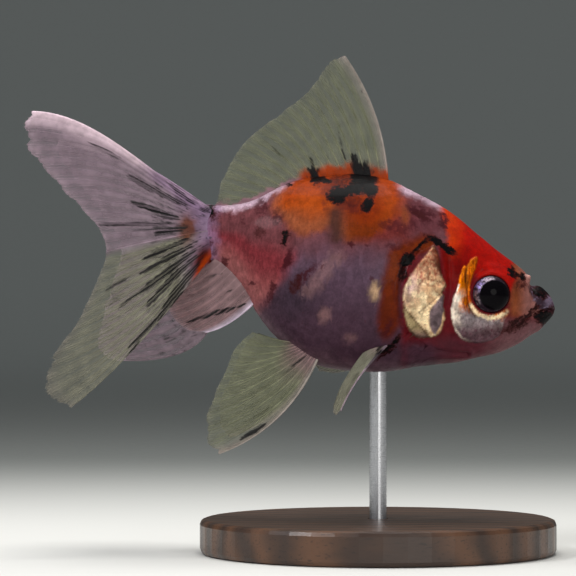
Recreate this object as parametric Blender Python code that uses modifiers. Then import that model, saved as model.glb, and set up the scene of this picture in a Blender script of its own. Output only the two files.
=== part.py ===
"""Fancy goldfish: a life-size, still museum model held over a plain display stand.

The fish is one lofted body, parted into head, trunk and tail stem, with gill covers, a lower
jaw, eyes and fins set against it. Lengths are in millimetres until a mesh is made, which turns
them into metres. +X points to the snout, +Y to the fish's left and +Z up. The origin is the
centre of the stand's underside.
"""
import math

import bmesh
import bpy
import numpy as np
from mathutils import Matrix

MM = 0.001

# Driving sizes
FIN_THICKNESS = 0.56
GAP = 0.3
BASE_RADIUS = 31.0
BASE_HEIGHT = 6.0
BASE_EDGE = 0.9
ROD_RADIUS = 1.5
ROD_SEAT = 3.0            # how deep the rod stands in the base
ROD_SOCKET = 2.2          # how deep its top end sits in the belly
BASE_SEGMENTS = 48
ROD_SEGMENTS = 24

# Where the body is parted, along X
HEAD_REAR = 3.7
TAIL_STEM_FRONT = -21.4
TAIL_ROOT = -30.1

# Body sections from tail root to snout tip: place along X, height of the back, height of the
# belly, half width, height of the widest point, roundness above it and roundness below it.
# A roundness of 2 is an ellipse; less is more like a ridge and more is boxier.
BODY_SECTIONS = (
    (-30.1, 60.7, 51.6, 1.9, 56.2, 1.9, 1.9),
    (-26.6, 60.5, 49.4, 2.9, 55.4, 1.9, 1.9),
    (-23.5, 60.9, 46.0, 4.1, 54.0, 1.9, 1.9),
    (-21.0, 61.7, 41.6, 5.3, 52.4, 1.85, 1.95),
    (-18.5, 63.0, 38.3, 6.7, 50.9, 1.8, 2.05),
    (-15.0, 64.6, 35.3, 8.4, 49.2, 1.75, 2.15),
    (-11.0, 65.4, 32.8, 9.9, 47.9, 1.75, 2.2),
    (-4.5, 66.0, 31.6, 11.2, 46.8, 1.75, 2.25),
    (1.5, 65.1, 31.5, 11.3, 46.0, 1.8, 2.25),
    (7.0, 62.5, 32.4, 10.6, 45.3, 1.9, 2.25),
    (12.5, 59.5, 32.9, 9.5, 44.6, 2.0, 2.3),
    (17.5, 55.4, 33.9, 8.1, 43.9, 2.15, 2.3),
    (21.2, 52.4, 34.8, 6.7, 43.4, 2.25, 2.3),
    (24.4, 50.0, 36.3, 5.2, 43.0, 2.3, 2.25),
    (25.9, 48.5, 37.3, 4.4, 42.8, 2.3, 2.2),
    (26.6, 46.7, 37.8, 3.8, 42.7, 2.2, 2.1),
    (27.9, 46.6, 38.5, 3.3, 42.6, 2.1, 2.1),
    (29.3, 45.6, 39.9, 2.6, 42.6, 2.0, 2.0),
    (30.4, 43.9, 41.3, 1.4, 42.5, 2.0, 2.0),
    (30.8, 42.5, 42.3, 0.1, 42.4, 2.0, 2.0),
)
SEGMENTS_AROUND = 32

# Eyes and nostrils
EYE_CENTRE = (19.05, 5.5, 45.0)
EYE_RADIUS = 3.75
EYE_SEGMENTS = 18
NOSTRIL_CENTRE = (25.7, 2.2, 48.6)
NOSTRIL_SIZE = (0.45, 0.5, 0.95)

# Gill covers: an upright oval that leans forward, seen from the side
GILL_CENTRE = (8.0, 45.3)
GILL_HALF_LENGTH = 3.7
GILL_HALF_HEIGHT = 7.5
GILL_LEAN = 0.7
GILL_SEGMENTS = 24
GILL_INNER_FACE = 5.0
GILL_RISE = 0.25
PAST_THE_FLANK = 20.0      # safely outside the body on either side

# The lower jaw is what lies under the mouth line, ahead of the corner of the mouth
MOUTH_LINE = ((24.3, 40.1), (27.2, 41.3), (32.0, 42.9))
JAW_FLOOR = 34.0
JAW_HALF_WIDTH = 8.0
CHEEK = 20.0               # a station on the head well behind the jaw

# Each fin is a fan of curved rays. Its rows run across the rays, each from the leading ray to
# the last one: the root, one or two lines at even steps along the rays, and the outer margin.
# The paired fins are drawn on the left side.
DORSAL = (
    ((1.7, 0.0, 63.9), (-8.0, 0.0, 64.6), (-19.9, 0.0, 61.4)),
    ((-0.4, 0.0, 75.9), (-12.0, 0.6, 72.4), (-24.3, 0.5, 62.8)),
    ((-5.8, -0.6, 86.5), (-8.8, -0.7, 85.6), (-11.3, -0.5, 81.5), (-16.7, 0.4, 76.8),
     (-23.5, 1.3, 71.5), (-27.1, 1.1, 66.0), (-28.5, 0.6, 61.5)),
)
CAUDAL_RIGHT_UPPER = (
    ((-29.7, 0.75, 60.2), (-29.7, 0.75, 56.35)),
    ((-39.4, 1.3, 66.7), (-35.4, 2.8, 55.3)),
    ((-49.3, 2.0, 73.5), (-41.1, 5.1, 54.2)),
    ((-60.0, 3.0, 76.7), (-61.9, 3.4, 74.4), (-61.3, 3.9, 71.2), (-57.1, 4.9, 65.4),
     (-52.2, 6.1, 60.4), (-47.6, 7.2, 55.0), (-46.6, 7.5, 52.9)),
)
CAUDAL_RIGHT_LOWER = (
    ((-29.7, 0.75, 56.05), (-29.7, 0.85, 50.8)),
    ((-35.5, 3.0, 54.9), (-36.4, 6.4, 42.2)),
    ((-41.2, 5.3, 53.7), (-44.4, 9.9, 33.2)),
    ((-46.9, 7.6, 52.4), (-48.2, 8.5, 48.4), (-51.9, 10.4, 40.2), (-55.2, 11.6, 35.5),
     (-57.6, 12.4, 31.3), (-57.3, 12.7, 28.5), (-55.6, 12.6, 26.7), (-52.7, 12.2, 25.7)),
)
CAUDAL_LEFT_UPPER = (
    ((-29.7, 0.75, 60.2), (-29.7, 0.75, 56.35)),
    ((-42.5, 2.6, 68.4), (-37.8, 7.0, 55.3)),
    ((-55.2, 5.8, 73.9), (-56.6, 7.0, 71.4), (-54.0, 9.4, 66.0), (-49.9, 11.6, 61.0),
     (-46.2, 13.4, 55.8), (-45.3, 13.9, 53.7)),
)
CAUDAL_LEFT_LOWER = (
    ((-29.7, 0.75, 56.05), (-29.7, 0.85, 51.0)),
    ((-37.8, 7.1, 55.0), (-37.1, 10.7, 46.9), (-30.9, 12.2, 37.0)),
    ((-45.4, 14.1, 53.2), (-46.4, 15.8, 49.4), (-48.6, 18.8, 43.4), (-50.2, 21.0, 38.2),
     (-50.3, 22.4, 35.2), (-48.6, 23.1, 33.5), (-46.6, 23.2, 33.0)),
)
ANAL = (
    ((-21.2, 1.2, 43.9), (-25.0, 1.1, 48.4), (-28.9, 0.9, 50.6)),
    ((-25.6, 1.7, 40.2), (-29.6, 1.6, 43.4), (-32.6, 1.0, 48.0)),
    ((-29.8, 2.3, 38.4), (-33.4, 2.2, 38.9), (-36.0, 1.9, 41.3), (-36.6, 1.6, 44.4),
     (-35.6, 1.2, 46.9)),
)
PELVIC = (
    ((-10.3, 3.9, 34.4), (-14.4, 3.3, 36.7)),
    ((-17.3, 7.9, 24.0), (-21.3, 8.0, 30.7), (-18.1, 4.2, 37.3)),
    ((-27.5, 11.6, 17.8), (-29.5, 12.0, 19.6), (-29.8, 11.8, 23.5), (-28.5, 10.8, 27.4),
     (-26.5, 8.8, 32.0), (-25.2, 7.0, 35.3), (-23.1, 5.5, 37.8), (-21.8, 4.8, 38.5)),
)
PECTORAL_RIGHT = (
    ((2.2, 7.8, 37.2), (0.2, 7.0, 38.2)),
    ((-3.3, 13.6, 31.3), (-4.3, 11.1, 31.4), (-4.9, 8.5, 32.0)),
    ((-6.8, 19.4, 25.4), (-7.5, 17.2, 24.7), (-7.9, 13.6, 24.7), (-8.0, 10.8, 25.4),
     (-7.6, 9.2, 26.6)),
)
PECTORAL_LEFT = (
    ((2.2, 7.8, 37.2), (0.2, 7.0, 38.2)),
    ((-0.9, 14.6, 33.9), (-3.7, 12.5, 34.3), (-5.1, 10.1, 35.2)),
    ((-4.2, 21.3, 31.2), (-6.4, 20.2, 30.8), (-9.4, 17.2, 31.0), (-11.0, 13.9, 32.0),
     (-11.0, 12.0, 33.0)),
)
FIN_CELLS_ACROSS = 12
FIN_CELLS_ALONG = 5
PELVIC_LEFT_REACH = 0.9    # the left pelvic fin is a little more folded than the right
ANAL_LEFT_REACH = 0.95
LEFT, RIGHT = 1, -1


# ---------------------------------------------------------------- curves and sections

def smooth_path(points, measured):
    """A smooth curve through a few rows, as a function of 0 to 1.

    Distance between rows is taken over their first `measured` columns.
    """
    knots = np.array(points, dtype=float)
    steps = np.linalg.norm(np.diff(knots[:, :measured], axis=0), axis=1)
    places = np.concatenate(([0.0], np.cumsum(steps))) / steps.sum()
    slopes = np.gradient(knots, places, axis=0)

    def at(place):
        i = min(int(np.searchsorted(places, place, side="right")) - 1, len(places) - 2)
        span = places[i + 1] - places[i]
        t = (place - places[i]) / span
        start = (1 + 2 * t) * (1 - t) ** 2 * knots[i] + t * (1 - t) ** 2 * span * slopes[i]
        end = t * t * (3 - 2 * t) * knots[i + 1] + t * t * (t - 1) * span * slopes[i + 1]
        return start + end

    return at


body_section = smooth_path(BODY_SECTIONS, measured=3)


def place_of(x):
    """Where along the body's sections the station at x lies, by halving."""
    low, high = 0.0, 1.0
    for _ in range(40):
        middle = (low + high) / 2
        if body_section(middle)[0] < x:
            low = middle
        else:
            high = middle
    return low


def section_ring(section, grow=0.0):
    """Points round one body section, from the back down the left side and up the right."""
    x, top, bottom, half_width, widest, above, below = section
    ring = []
    for k in range(SEGMENTS_AROUND):
        turn = 2 * math.pi * k / SEGMENTS_AROUND
        upward, sideways = math.cos(turn), math.sin(turn)
        power = 2 / (above if upward > 0 else below)
        reach = (top - widest if upward > 0 else widest - bottom) + grow
        y = (half_width + grow) * math.copysign(abs(sideways) ** power, sideways)
        z = widest + reach * math.copysign(abs(upward) ** power, upward)
        ring.append((x, y, z))
    return ring


# ---------------------------------------------------------------- making objects

def new_collection(name):
    collection = bpy.data.collections.new(name)
    bpy.context.scene.collection.children.link(collection)
    return collection


def new_material(name, colour, roughness, metallic=0.0):
    material = bpy.data.materials.new(name)
    material.use_nodes = True
    shader = material.node_tree.nodes["Principled BSDF"]
    shader.inputs["Base Color"].default_value = (*colour, 1.0)
    shader.inputs["Roughness"].default_value = roughness
    shader.inputs["Metallic"].default_value = metallic
    return material


def new_object(name, mesh_in_mm, collection):
    """An object from a bmesh in millimetres, which it uses up."""
    bmesh.ops.recalc_face_normals(mesh_in_mm, faces=mesh_in_mm.faces)
    bmesh.ops.scale(mesh_in_mm, vec=(MM, MM, MM), verts=mesh_in_mm.verts)
    mesh = bpy.data.meshes.new(name)
    mesh_in_mm.to_mesh(mesh)
    mesh_in_mm.free()
    mesh.shade_smooth()
    mesh.set_sharp_from_angle(angle=math.radians(40))
    made = bpy.data.objects.new(name, mesh)
    collection.objects.link(made)
    return made


def hide_cutter(cutter):
    cutter.hide_render = True
    cutter.display_type = "WIRE"
    return cutter


def boolean(target, tool, operation):
    modifier = target.modifiers.new(operation.title() + " " + tool.name, "BOOLEAN")
    modifier.operation = operation
    modifier.solver = "EXACT"
    modifier.object = tool


def loft(name, rings, collection, tip=None):
    """A closed skin over rings, flat at the first one and ending in a flat or in a tip point."""
    shape = bmesh.new()
    loops = [[shape.verts.new(point) for point in ring] for ring in rings]
    for near, far in zip(loops, loops[1:]):
        for k in range(SEGMENTS_AROUND):
            after = (k + 1) % SEGMENTS_AROUND
            shape.faces.new((near[k], near[after], far[after], far[k]))
    shape.faces.new(loops[0])
    if tip is None:
        shape.faces.new(loops[-1])
    else:
        point = shape.verts.new(tip)
        last = loops[-1]
        for k in range(SEGMENTS_AROUND):
            shape.faces.new((last[k], last[(k + 1) % SEGMENTS_AROUND], point))
    return new_object(name, shape, collection)


def body_length(name, x_from, x_to, ring_count, collection, grow=0.0):
    """The stretch of body between two stations, with a flat face at each end."""
    places = np.linspace(place_of(x_from), place_of(x_to), ring_count)
    rings = [section_ring(body_section(place), grow) for place in places]
    return loft(name, rings, collection)


def body_to_snout(name, x_from, ring_count, collection, grow=0.0):
    """The body from a station forward to the tip of the snout."""
    places = np.linspace(place_of(x_from), 1.0, ring_count + 1)[:-1]
    rings = [section_ring(body_section(place), grow) for place in places]
    tip_x, top, bottom = body_section(1.0)[:3]
    return loft(name, rings, collection, tip=(tip_x + grow, 0.0, (top + bottom) / 2))


def prism(name, outline, y_from, y_to, collection):
    """A flat outline of (x, z) points, carried along Y."""
    shape = bmesh.new()
    base = shape.faces.new([shape.verts.new((x, y_from, z)) for x, z in outline])
    pushed = bmesh.ops.extrude_face_region(shape, geom=[base])["geom"]
    moved = [item for item in pushed if isinstance(item, bmesh.types.BMVert)]
    bmesh.ops.translate(shape, vec=(0.0, y_to - y_from, 0.0), verts=moved)
    return new_object(name, shape, collection)


def ball(name, centre, radius, segments, collection, stretch=(1.0, 1.0, 1.0)):
    """A sphere or ellipsoid whose poles face left and right."""
    shape = bmesh.new()
    bmesh.ops.create_uvsphere(shape, u_segments=segments, v_segments=segments // 2, radius=radius)
    quarter_turn = Matrix.Rotation(math.pi / 2, 3, "X")
    bmesh.ops.rotate(shape, matrix=quarter_turn, verts=shape.verts)
    bmesh.ops.scale(shape, vec=stretch, verts=shape.verts)
    bmesh.ops.translate(shape, vec=centre, verts=shape.verts)
    return new_object(name, shape, collection)


def cylinder(name, radius, z_from, z_to, segments, collection):
    shape = bmesh.new()
    bmesh.ops.create_cone(shape, cap_ends=True, segments=segments, radius1=radius, radius2=radius,
                          depth=z_to - z_from)
    bmesh.ops.translate(shape, vec=(0.0, 0.0, (z_from + z_to) / 2), verts=shape.verts)
    return new_object(name, shape, collection)


# ---------------------------------------------------------------- the parts

def gill_outline(inset):
    """The leaning oval of a gill cover, drawn in by `inset`."""
    outline = []
    for k in range(GILL_SEGMENTS):
        turn = 2 * math.pi * k / GILL_SEGMENTS
        x = GILL_CENTRE[0] + (GILL_HALF_LENGTH - inset) * math.cos(turn) + GILL_LEAN * math.sin(turn)
        z = GILL_CENTRE[1] + (GILL_HALF_HEIGHT - inset) * math.sin(turn)
        outline.append((x, z))
    return outline


def jaw_outline(drop):
    """The region under the mouth line, lowered by `drop` and starting that far ahead of it."""
    lip = [(x + drop, z - drop) for x, z in MOUTH_LINE]
    rear_x, front_x = lip[0][0], lip[-1][0]
    return lip + [(front_x, JAW_FLOOR), (rear_x, JAW_FLOOR)]


def build_head(parts, cutters):
    head = body_to_snout("head", HEAD_REAR + GAP / 2, 23, parts)
    raised = hide_cutter(body_to_snout("raised_skin", HEAD_REAR - 2, 26, cutters, GILL_RISE))
    for side, word in ((-1, "right"), (1, "left")):
        x, y, z = EYE_CENTRE
        ball("eye_" + word, (x, side * y, z), EYE_RADIUS, EYE_SEGMENTS, parts)
        socket = ball("socket_" + word, (x, side * y, z), EYE_RADIUS + GAP, EYE_SEGMENTS, cutters)
        boolean(head, hide_cutter(socket), "DIFFERENCE")
        x, y, z = NOSTRIL_CENTRE
        flap = ball("nostril_" + word, (x, side * y, z), 1.0, 10, cutters, NOSTRIL_SIZE)
        boolean(head, hide_cutter(flap), "UNION")
        outside = side * PAST_THE_FLANK
        pocket = prism("gill_pocket_" + word, gill_outline(0.0), side * (GILL_INNER_FACE - GAP),
                       outside, cutters)
        boolean(head, hide_cutter(pocket), "DIFFERENCE")
        cover = prism("gill_cover_" + word, gill_outline(GAP), side * GILL_INNER_FACE,
                      outside, parts)
        boolean(cover, raised, "INTERSECT")
    jaw_room = prism("jaw_room", jaw_outline(0.0), -JAW_HALF_WIDTH, JAW_HALF_WIDTH, cutters)
    boolean(head, hide_cutter(jaw_room), "DIFFERENCE")
    jaw = prism("lower_jaw", jaw_outline(GAP), -JAW_HALF_WIDTH, JAW_HALF_WIDTH, parts)
    chin = hide_cutter(body_to_snout("chin", CHEEK, 20, cutters))
    boolean(jaw, chin, "INTERSECT")


def build_trunk(parts, cutters):
    trunk = body_length("trunk", TAIL_STEM_FRONT + GAP / 2, HEAD_REAR - GAP / 2, 16, parts)
    belly = body_section(place_of(0.0))[2]
    socket = cylinder("rod_socket", ROD_RADIUS + GAP, belly - ROD_SOCKET,
                      belly + ROD_SOCKET + GAP, ROD_SEGMENTS, cutters)
    boolean(trunk, hide_cutter(socket), "DIFFERENCE")
    body_length("tail_stem", TAIL_ROOT, TAIL_STEM_FRONT - GAP / 2, 8, parts)
    return belly


def share_of_row(row, row_count, along):
    """How much of a row a point takes, when its ray passes through every row in turn."""
    place = along * (row_count - 1)
    share = 1.0
    for other in range(row_count):
        if other != row:
            share *= (place - other) / (row - other)
    return share


def fin(name, rows, side, parts, trimmer, reach=1.0):
    """A thin plate over a fan of curved rays, trimmed where it meets the body.

    `side` mirrors the fin to the fish's right, and `reach` draws it in towards its root.
    """
    paths = [smooth_path(row, measured=3) for row in rows]
    centre = paths[0](0.5)
    mirror = np.array((1.0, side, 1.0))
    shape = bmesh.new()
    grid = []
    for across in np.linspace(0.0, 1.0, FIN_CELLS_ACROSS + 1):
        stations = [path(across) for path in paths]
        ray = []
        for along in np.linspace(0.0, 1.0, FIN_CELLS_ALONG + 1):
            point = sum(station * share_of_row(row, len(rows), along)
                        for row, station in enumerate(stations))
            ray.append(shape.verts.new((centre + (point - centre) * reach) * mirror))
        grid.append(ray)
    for ray, after in zip(grid, grid[1:]):
        for k in range(FIN_CELLS_ALONG):
            shape.faces.new((ray[k], ray[k + 1], after[k + 1], after[k]))
    plate = new_object(name, shape, parts)
    solid = plate.modifiers.new("Thickness", "SOLIDIFY")
    solid.thickness = FIN_THICKNESS * MM
    solid.offset = 0.0
    boolean(plate, trimmer, "DIFFERENCE")


def build_fins(parts, cutters):
    trimmer = body_length("fin_trimmer", TAIL_ROOT, CHEEK, 40, cutters, GAP)
    for k in range(SEGMENTS_AROUND):
        trimmer.data.vertices[k].co.x -= GAP * MM    # the ring at the tail root, moved clear
    hide_cutter(trimmer)
    fin("dorsal_fin", DORSAL, LEFT, parts, trimmer)
    fin("caudal_fin_right_upper", CAUDAL_RIGHT_UPPER, RIGHT, parts, trimmer)
    fin("caudal_fin_right_lower", CAUDAL_RIGHT_LOWER, RIGHT, parts, trimmer)
    fin("caudal_fin_left_upper", CAUDAL_LEFT_UPPER, LEFT, parts, trimmer)
    fin("caudal_fin_left_lower", CAUDAL_LEFT_LOWER, LEFT, parts, trimmer)
    fin("anal_fin_right", ANAL, RIGHT, parts, trimmer)
    fin("anal_fin_left", ANAL, LEFT, parts, trimmer, ANAL_LEFT_REACH)
    fin("pelvic_fin_right", PELVIC, RIGHT, parts, trimmer)
    fin("pelvic_fin_left", PELVIC, LEFT, parts, trimmer, PELVIC_LEFT_REACH)
    fin("pectoral_fin_right", PECTORAL_RIGHT, RIGHT, parts, trimmer)
    fin("pectoral_fin_left", PECTORAL_LEFT, LEFT, parts, trimmer)


def build_stand(parts, cutters, belly):
    """A turned disc with a rod that rises from a blind hole in it into the belly."""
    base = cylinder("stand_base", BASE_RADIUS, 0.0, BASE_HEIGHT, BASE_SEGMENTS, parts)
    rounding = base.modifiers.new("Eased edges", "BEVEL")
    rounding.width = BASE_EDGE * MM
    rounding.segments = 2
    rounding.limit_method = "ANGLE"
    seat = cylinder("rod_seat", ROD_RADIUS + GAP, BASE_HEIGHT - ROD_SEAT - GAP,
                    2 * BASE_HEIGHT, ROD_SEGMENTS, cutters)
    boolean(base, hide_cutter(seat), "DIFFERENCE")
    cylinder("stand_rod", ROD_RADIUS, BASE_HEIGHT - ROD_SEAT, belly + ROD_SOCKET, ROD_SEGMENTS,
             parts)


def colour_parts(parts):
    """Each part's own material, named after it: colour, roughness and metallic value."""
    skin_orange = (0.72, 0.16, 0.04)
    skin_mauve = (0.42, 0.25, 0.30)
    finishes = {
        "head": (skin_orange, 0.3),
        "lower_jaw": ((0.55, 0.33, 0.30), 0.35),
        "gill_cover": ((0.62, 0.45, 0.25), 0.3, 0.6),
        "eye": ((0.01, 0.01, 0.015), 0.08),
        "trunk": (skin_mauve, 0.3),
        "tail_stem": ((0.50, 0.22, 0.25), 0.35),
        "dorsal_fin": ((0.55, 0.52, 0.50), 0.45),
        "caudal_fin": ((0.50, 0.46, 0.50), 0.45),
        "anal_fin": ((0.52, 0.46, 0.48), 0.45),
        "pelvic_fin": ((0.50, 0.50, 0.46), 0.45),
        "pectoral_fin": ((0.45, 0.40, 0.42), 0.45),
        "stand_base": ((0.06, 0.035, 0.02), 0.4),
        "stand_rod": ((0.60, 0.60, 0.60), 0.3, 1.0),
    }
    for part in parts.objects:
        kind = next(kind for kind in finishes if part.name.startswith(kind))
        part.data.materials.append(new_material(part.name, *finishes[kind]))


def main():
    for old in list(bpy.data.objects):
        bpy.data.objects.remove(old)
    parts = new_collection("fancy_goldfish")
    cutters = new_collection("cutters")
    build_head(parts, cutters)
    belly = build_trunk(parts, cutters)
    build_fins(parts, cutters)
    build_stand(parts, cutters, belly)
    colour_parts(parts)


main()
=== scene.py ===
"""Looks of the fancy goldfish model: skin, scales, fins, eyes and stand, lit in a plain studio.

Lengths are in millimetres until a mesh is made, which turns them into metres. +X points to the
snout, +Y to the fish's left and +Z up, and the origin is the centre of the stand's underside.
"""
import math  # noqa: E402

import bpy  # noqa: E402
import numpy as np  # noqa: E402
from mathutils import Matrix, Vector, noise  # noqa: E402


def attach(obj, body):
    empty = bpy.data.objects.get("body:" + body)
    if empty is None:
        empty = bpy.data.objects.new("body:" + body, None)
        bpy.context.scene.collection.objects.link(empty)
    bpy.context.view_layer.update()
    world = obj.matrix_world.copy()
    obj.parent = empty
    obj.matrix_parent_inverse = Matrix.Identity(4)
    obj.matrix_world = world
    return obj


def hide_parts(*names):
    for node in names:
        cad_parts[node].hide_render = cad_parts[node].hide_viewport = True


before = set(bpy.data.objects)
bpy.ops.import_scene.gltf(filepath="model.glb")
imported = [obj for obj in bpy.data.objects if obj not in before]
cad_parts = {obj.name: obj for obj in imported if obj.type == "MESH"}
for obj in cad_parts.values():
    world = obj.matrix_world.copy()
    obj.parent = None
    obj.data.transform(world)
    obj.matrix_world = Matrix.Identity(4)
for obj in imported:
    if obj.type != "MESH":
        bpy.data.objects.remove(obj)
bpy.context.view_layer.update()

MM = 0.001
RIGHT, LEFT = -1, 1

# ---------------------------------------------------------------- the body's form

# Body sections from tail root to snout tip: place along X, height of the back, height of the
# belly, half width, height of the widest point, roundness above it and roundness below it.
BODY_SECTIONS = (
    (-30.1, 60.7, 51.6, 1.9, 56.2, 1.9, 1.9),
    (-26.6, 60.5, 49.4, 2.9, 55.4, 1.9, 1.9),
    (-23.5, 60.9, 46.0, 4.1, 54.0, 1.9, 1.9),
    (-21.0, 61.7, 41.6, 5.3, 52.4, 1.85, 1.95),
    (-18.5, 63.0, 38.3, 6.7, 50.9, 1.8, 2.05),
    (-15.0, 64.6, 35.3, 8.4, 49.2, 1.75, 2.15),
    (-11.0, 65.4, 32.8, 9.9, 47.9, 1.75, 2.2),
    (-4.5, 66.0, 31.6, 11.2, 46.8, 1.75, 2.25),
    (1.5, 65.1, 31.5, 11.3, 46.0, 1.8, 2.25),
    (7.0, 62.5, 32.4, 10.6, 45.3, 1.9, 2.25),
    (12.5, 59.5, 32.9, 9.5, 44.6, 2.0, 2.3),
    (17.5, 55.4, 33.9, 8.1, 43.9, 2.15, 2.3),
    (21.2, 52.4, 34.8, 6.7, 43.4, 2.25, 2.3),
    (24.4, 50.0, 36.3, 5.2, 43.0, 2.3, 2.25),
    (25.9, 48.5, 37.3, 4.4, 42.8, 2.3, 2.2),
    (26.6, 46.7, 37.8, 3.8, 42.7, 2.2, 2.1),
    (27.9, 46.6, 38.5, 3.3, 42.6, 2.1, 2.1),
    (29.3, 45.6, 39.9, 2.6, 42.6, 2.0, 2.0),
    (30.4, 43.9, 41.3, 1.4, 42.5, 2.0, 2.0),
    (30.8, 42.5, 42.3, 0.1, 42.4, 2.0, 2.0),
)
COAT_DEPTH = 0.12          # how far the skin lies inside the body's outer form, under the scales
RINGS = 388                # rings of the skin from tail root to snout
HALF_RING = 124            # steps from the back to the belly on one side
BODY_STEP, HEAD_STEP = 0.25, 0.115       # between rings, on the trunk and on the head
HEAD_FROM, HEAD_TO = 1.0, 11.0           # where along X the one step turns into the other
OUTLINE_STEPS, LENGTH_STEPS, TABLE_STEPS = 1201, 6001, 400     # samples for measuring the form


def ramp(start, end, value):
    """0 before start, 1 past end, and a smooth rise between them."""
    t = np.clip((value - start) / (end - start), 0.0, 1.0)
    return t * t * (3 - 2 * t)


def hump(value, middle, half_width):
    """A smooth bump of height 1 about a middle."""
    return np.exp(-((value - middle) / half_width) ** 2)


def smooth_rows(rows, measured):
    """A smooth curve through rows, as a function of 0 to 1. Distance is taken over the first
    `measured` columns."""
    knots = np.array(rows, dtype=float)
    steps = np.linalg.norm(np.diff(knots[:, :measured], axis=0), axis=1)
    places = np.concatenate(([0.0], np.cumsum(steps))) / steps.sum()
    slopes = np.gradient(knots, places, axis=0)

    def at(place):
        place = np.asarray(place, dtype=float)
        i = np.clip(np.searchsorted(places, place, side="right") - 1, 0, len(places) - 2)
        span = (places[i + 1] - places[i])[..., None]
        t = (place - places[i])[..., None] / span
        start = (1 + 2 * t) * (1 - t) ** 2 * knots[i] + t * (1 - t) ** 2 * span * slopes[i]
        end = t * t * (3 - 2 * t) * knots[i + 1] + t * t * (t - 1) * span * slopes[i + 1]
        return start + end

    return at


body_section = smooth_rows(BODY_SECTIONS, 3)


def ring_points(sections, steps, grow):
    """Points on rings of the body, (section, 2 * steps, xyz): from the back down the left side
    to the belly and up the right, evenly spaced round each side."""
    x, top, bottom, half_width, widest, above, below = (column[:, None] for column in sections.T)
    turn = np.linspace(0.0, math.pi, OUTLINE_STEPS)[None, :]
    upward, sideways = np.cos(turn), np.clip(np.sin(turn), 0.0, None)
    power = 2 / np.where(upward > 0, above, below)
    reach = np.where(upward > 0, top - widest, widest - bottom) + grow
    y = (half_width + grow) * sideways ** power
    z = widest + reach * np.sign(upward) * np.abs(upward) ** power
    walk = np.hypot(np.diff(y), np.diff(z)).cumsum(axis=1)
    walk = np.concatenate((np.zeros_like(x), walk), axis=1)
    rings = np.empty((len(sections), 2 * steps, 3))
    for ring, (x_here, far, y_here, z_here) in enumerate(zip(x[:, 0], walk, y, z)):
        even = np.linspace(0.0, far[-1], steps + 1)
        left = np.interp(even, far, y_here)
        height = np.interp(even, far, z_here)
        rings[ring, :, 0] = x_here
        rings[ring, :steps + 1, 1] = left
        rings[ring, steps + 1:, 1] = -left[-2:0:-1]
        rings[ring, :steps + 1, 2] = height
        rings[ring, steps + 1:, 2] = height[-2:0:-1]
    return rings


def ring_places(count):
    """Where the rings lie along the body: closer together on the head."""
    place = np.linspace(0.0, 1.0, LENGTH_STEPS)
    section = body_section(place)
    walk = np.linalg.norm(np.diff(section[:, :3], axis=0), axis=1)
    step = BODY_STEP + (HEAD_STEP - BODY_STEP) * ramp(HEAD_FROM, HEAD_TO, section[1:, 0])
    density = np.concatenate(([0.0], np.cumsum(walk / step)))
    return np.interp(np.linspace(0.0, density[-1], count), density, place)


def grid_normals(points, closed):
    """Unit normals of a grid of points. The second direction may close on itself."""
    along = np.gradient(points, axis=0)
    if closed:
        around = np.roll(points, -1, axis=1) - np.roll(points, 1, axis=1)
    else:
        around = np.gradient(points, axis=1)
    normal = np.cross(around, along)
    return normal / np.maximum(np.linalg.norm(normal, axis=-1, keepdims=True), 1e-9)


# ---------------------------------------------------------------- shapes on the head

EYE_CENTRE = np.array((19.05, 5.5, 45.0))
EYE_RADIUS = 3.75
EYE_AXIS = np.array((0.12, 0.99, 0.03))
RIM_HEIGHT = 1.72          # how far along its axis the eyeball comes out of the skin
RIM_RADIUS = 3.2
RIM_SLOPE = 0.085          # how steeply the skin falls away from the rim
SOCKET_BLEND = (3.3, 5.9)  # distances from the axis over which the rim's skin joins the head's
SOCKET_REACH = 7.5         # nothing changes farther from the axis
SOCKET_FLOOR = 0.7         # height of the hidden skin under the eyeball

# Outlines and lines on the right side of the head, as (x, z)
GILL_PLATE = (
    (9.7, 53.6), (10.6, 51.8), (10.9, 49.4), (11.4, 47.6), (11.9, 46.6), (11.2, 45.6),
    (11.5, 44.6), (11.4, 43.0), (11.7, 41.0), (11.4, 39.8), (10.6, 38.1), (9.0, 37.5),
    (6.8, 37.5), (5.4, 38.8), (4.7, 40.8), (4.4, 43.2), (4.3, 45.2), (5.0, 47.1), (6.0, 48.8),
    (7.6, 51.0), (8.8, 52.5),
)
GILL_SILVER = (
    (11.5, 45.2), (10.2, 43.9), (8.9, 42.0), (8.9, 39.4), (9.7, 38.0), (10.7, 38.2), (11.5, 40.4),
    (11.6, 43.0),
)
GILL_SEAM_LOW = ((4.5, 43.0), (5.8, 41.2), (7.2, 39.6), (9.0, 37.6))
GILL_SEAM_FRONT = ((11.8, 46.6), (11.0, 45.2), (8.9, 43.3), (7.1, 41.8))
GILL_SLIT = (
    (10.2, 54.2), (7.2, 52.9), (4.9, 50.2), (3.8, 46.8), (3.7, 43.4), (4.1, 40.2), (5.6, 37.4),
    (8.6, 35.6), (12.2, 34.8), (15.5, 34.6),
)
CHEEK_METAL = (
    (16.5, 51.3), (17.3, 51.3), (16.9, 49.4), (16.3, 47.8), (16.0, 46.0), (16.1, 44.3),
    (16.7, 42.9), (17.8, 41.8), (19.2, 41.4), (20.9, 41.7), (22.4, 42.5), (22.9, 41.8),
    (22.0, 40.4), (21.6, 39.0), (20.8, 37.6), (19.0, 36.8), (16.6, 36.6), (14.6, 37.3),
    (13.4, 38.9), (12.8, 40.8), (12.7, 42.6), (13.2, 44.6), (13.8, 46.0), (14.2, 47.8),
    (14.8, 49.7), (15.4, 49.9), (15.9, 50.5),
)
PLATE_FRONT_DIP = ((12.3, 50.8), (12.6, 46.0), (12.2, 41.0), (12.6, 37.0))
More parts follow.
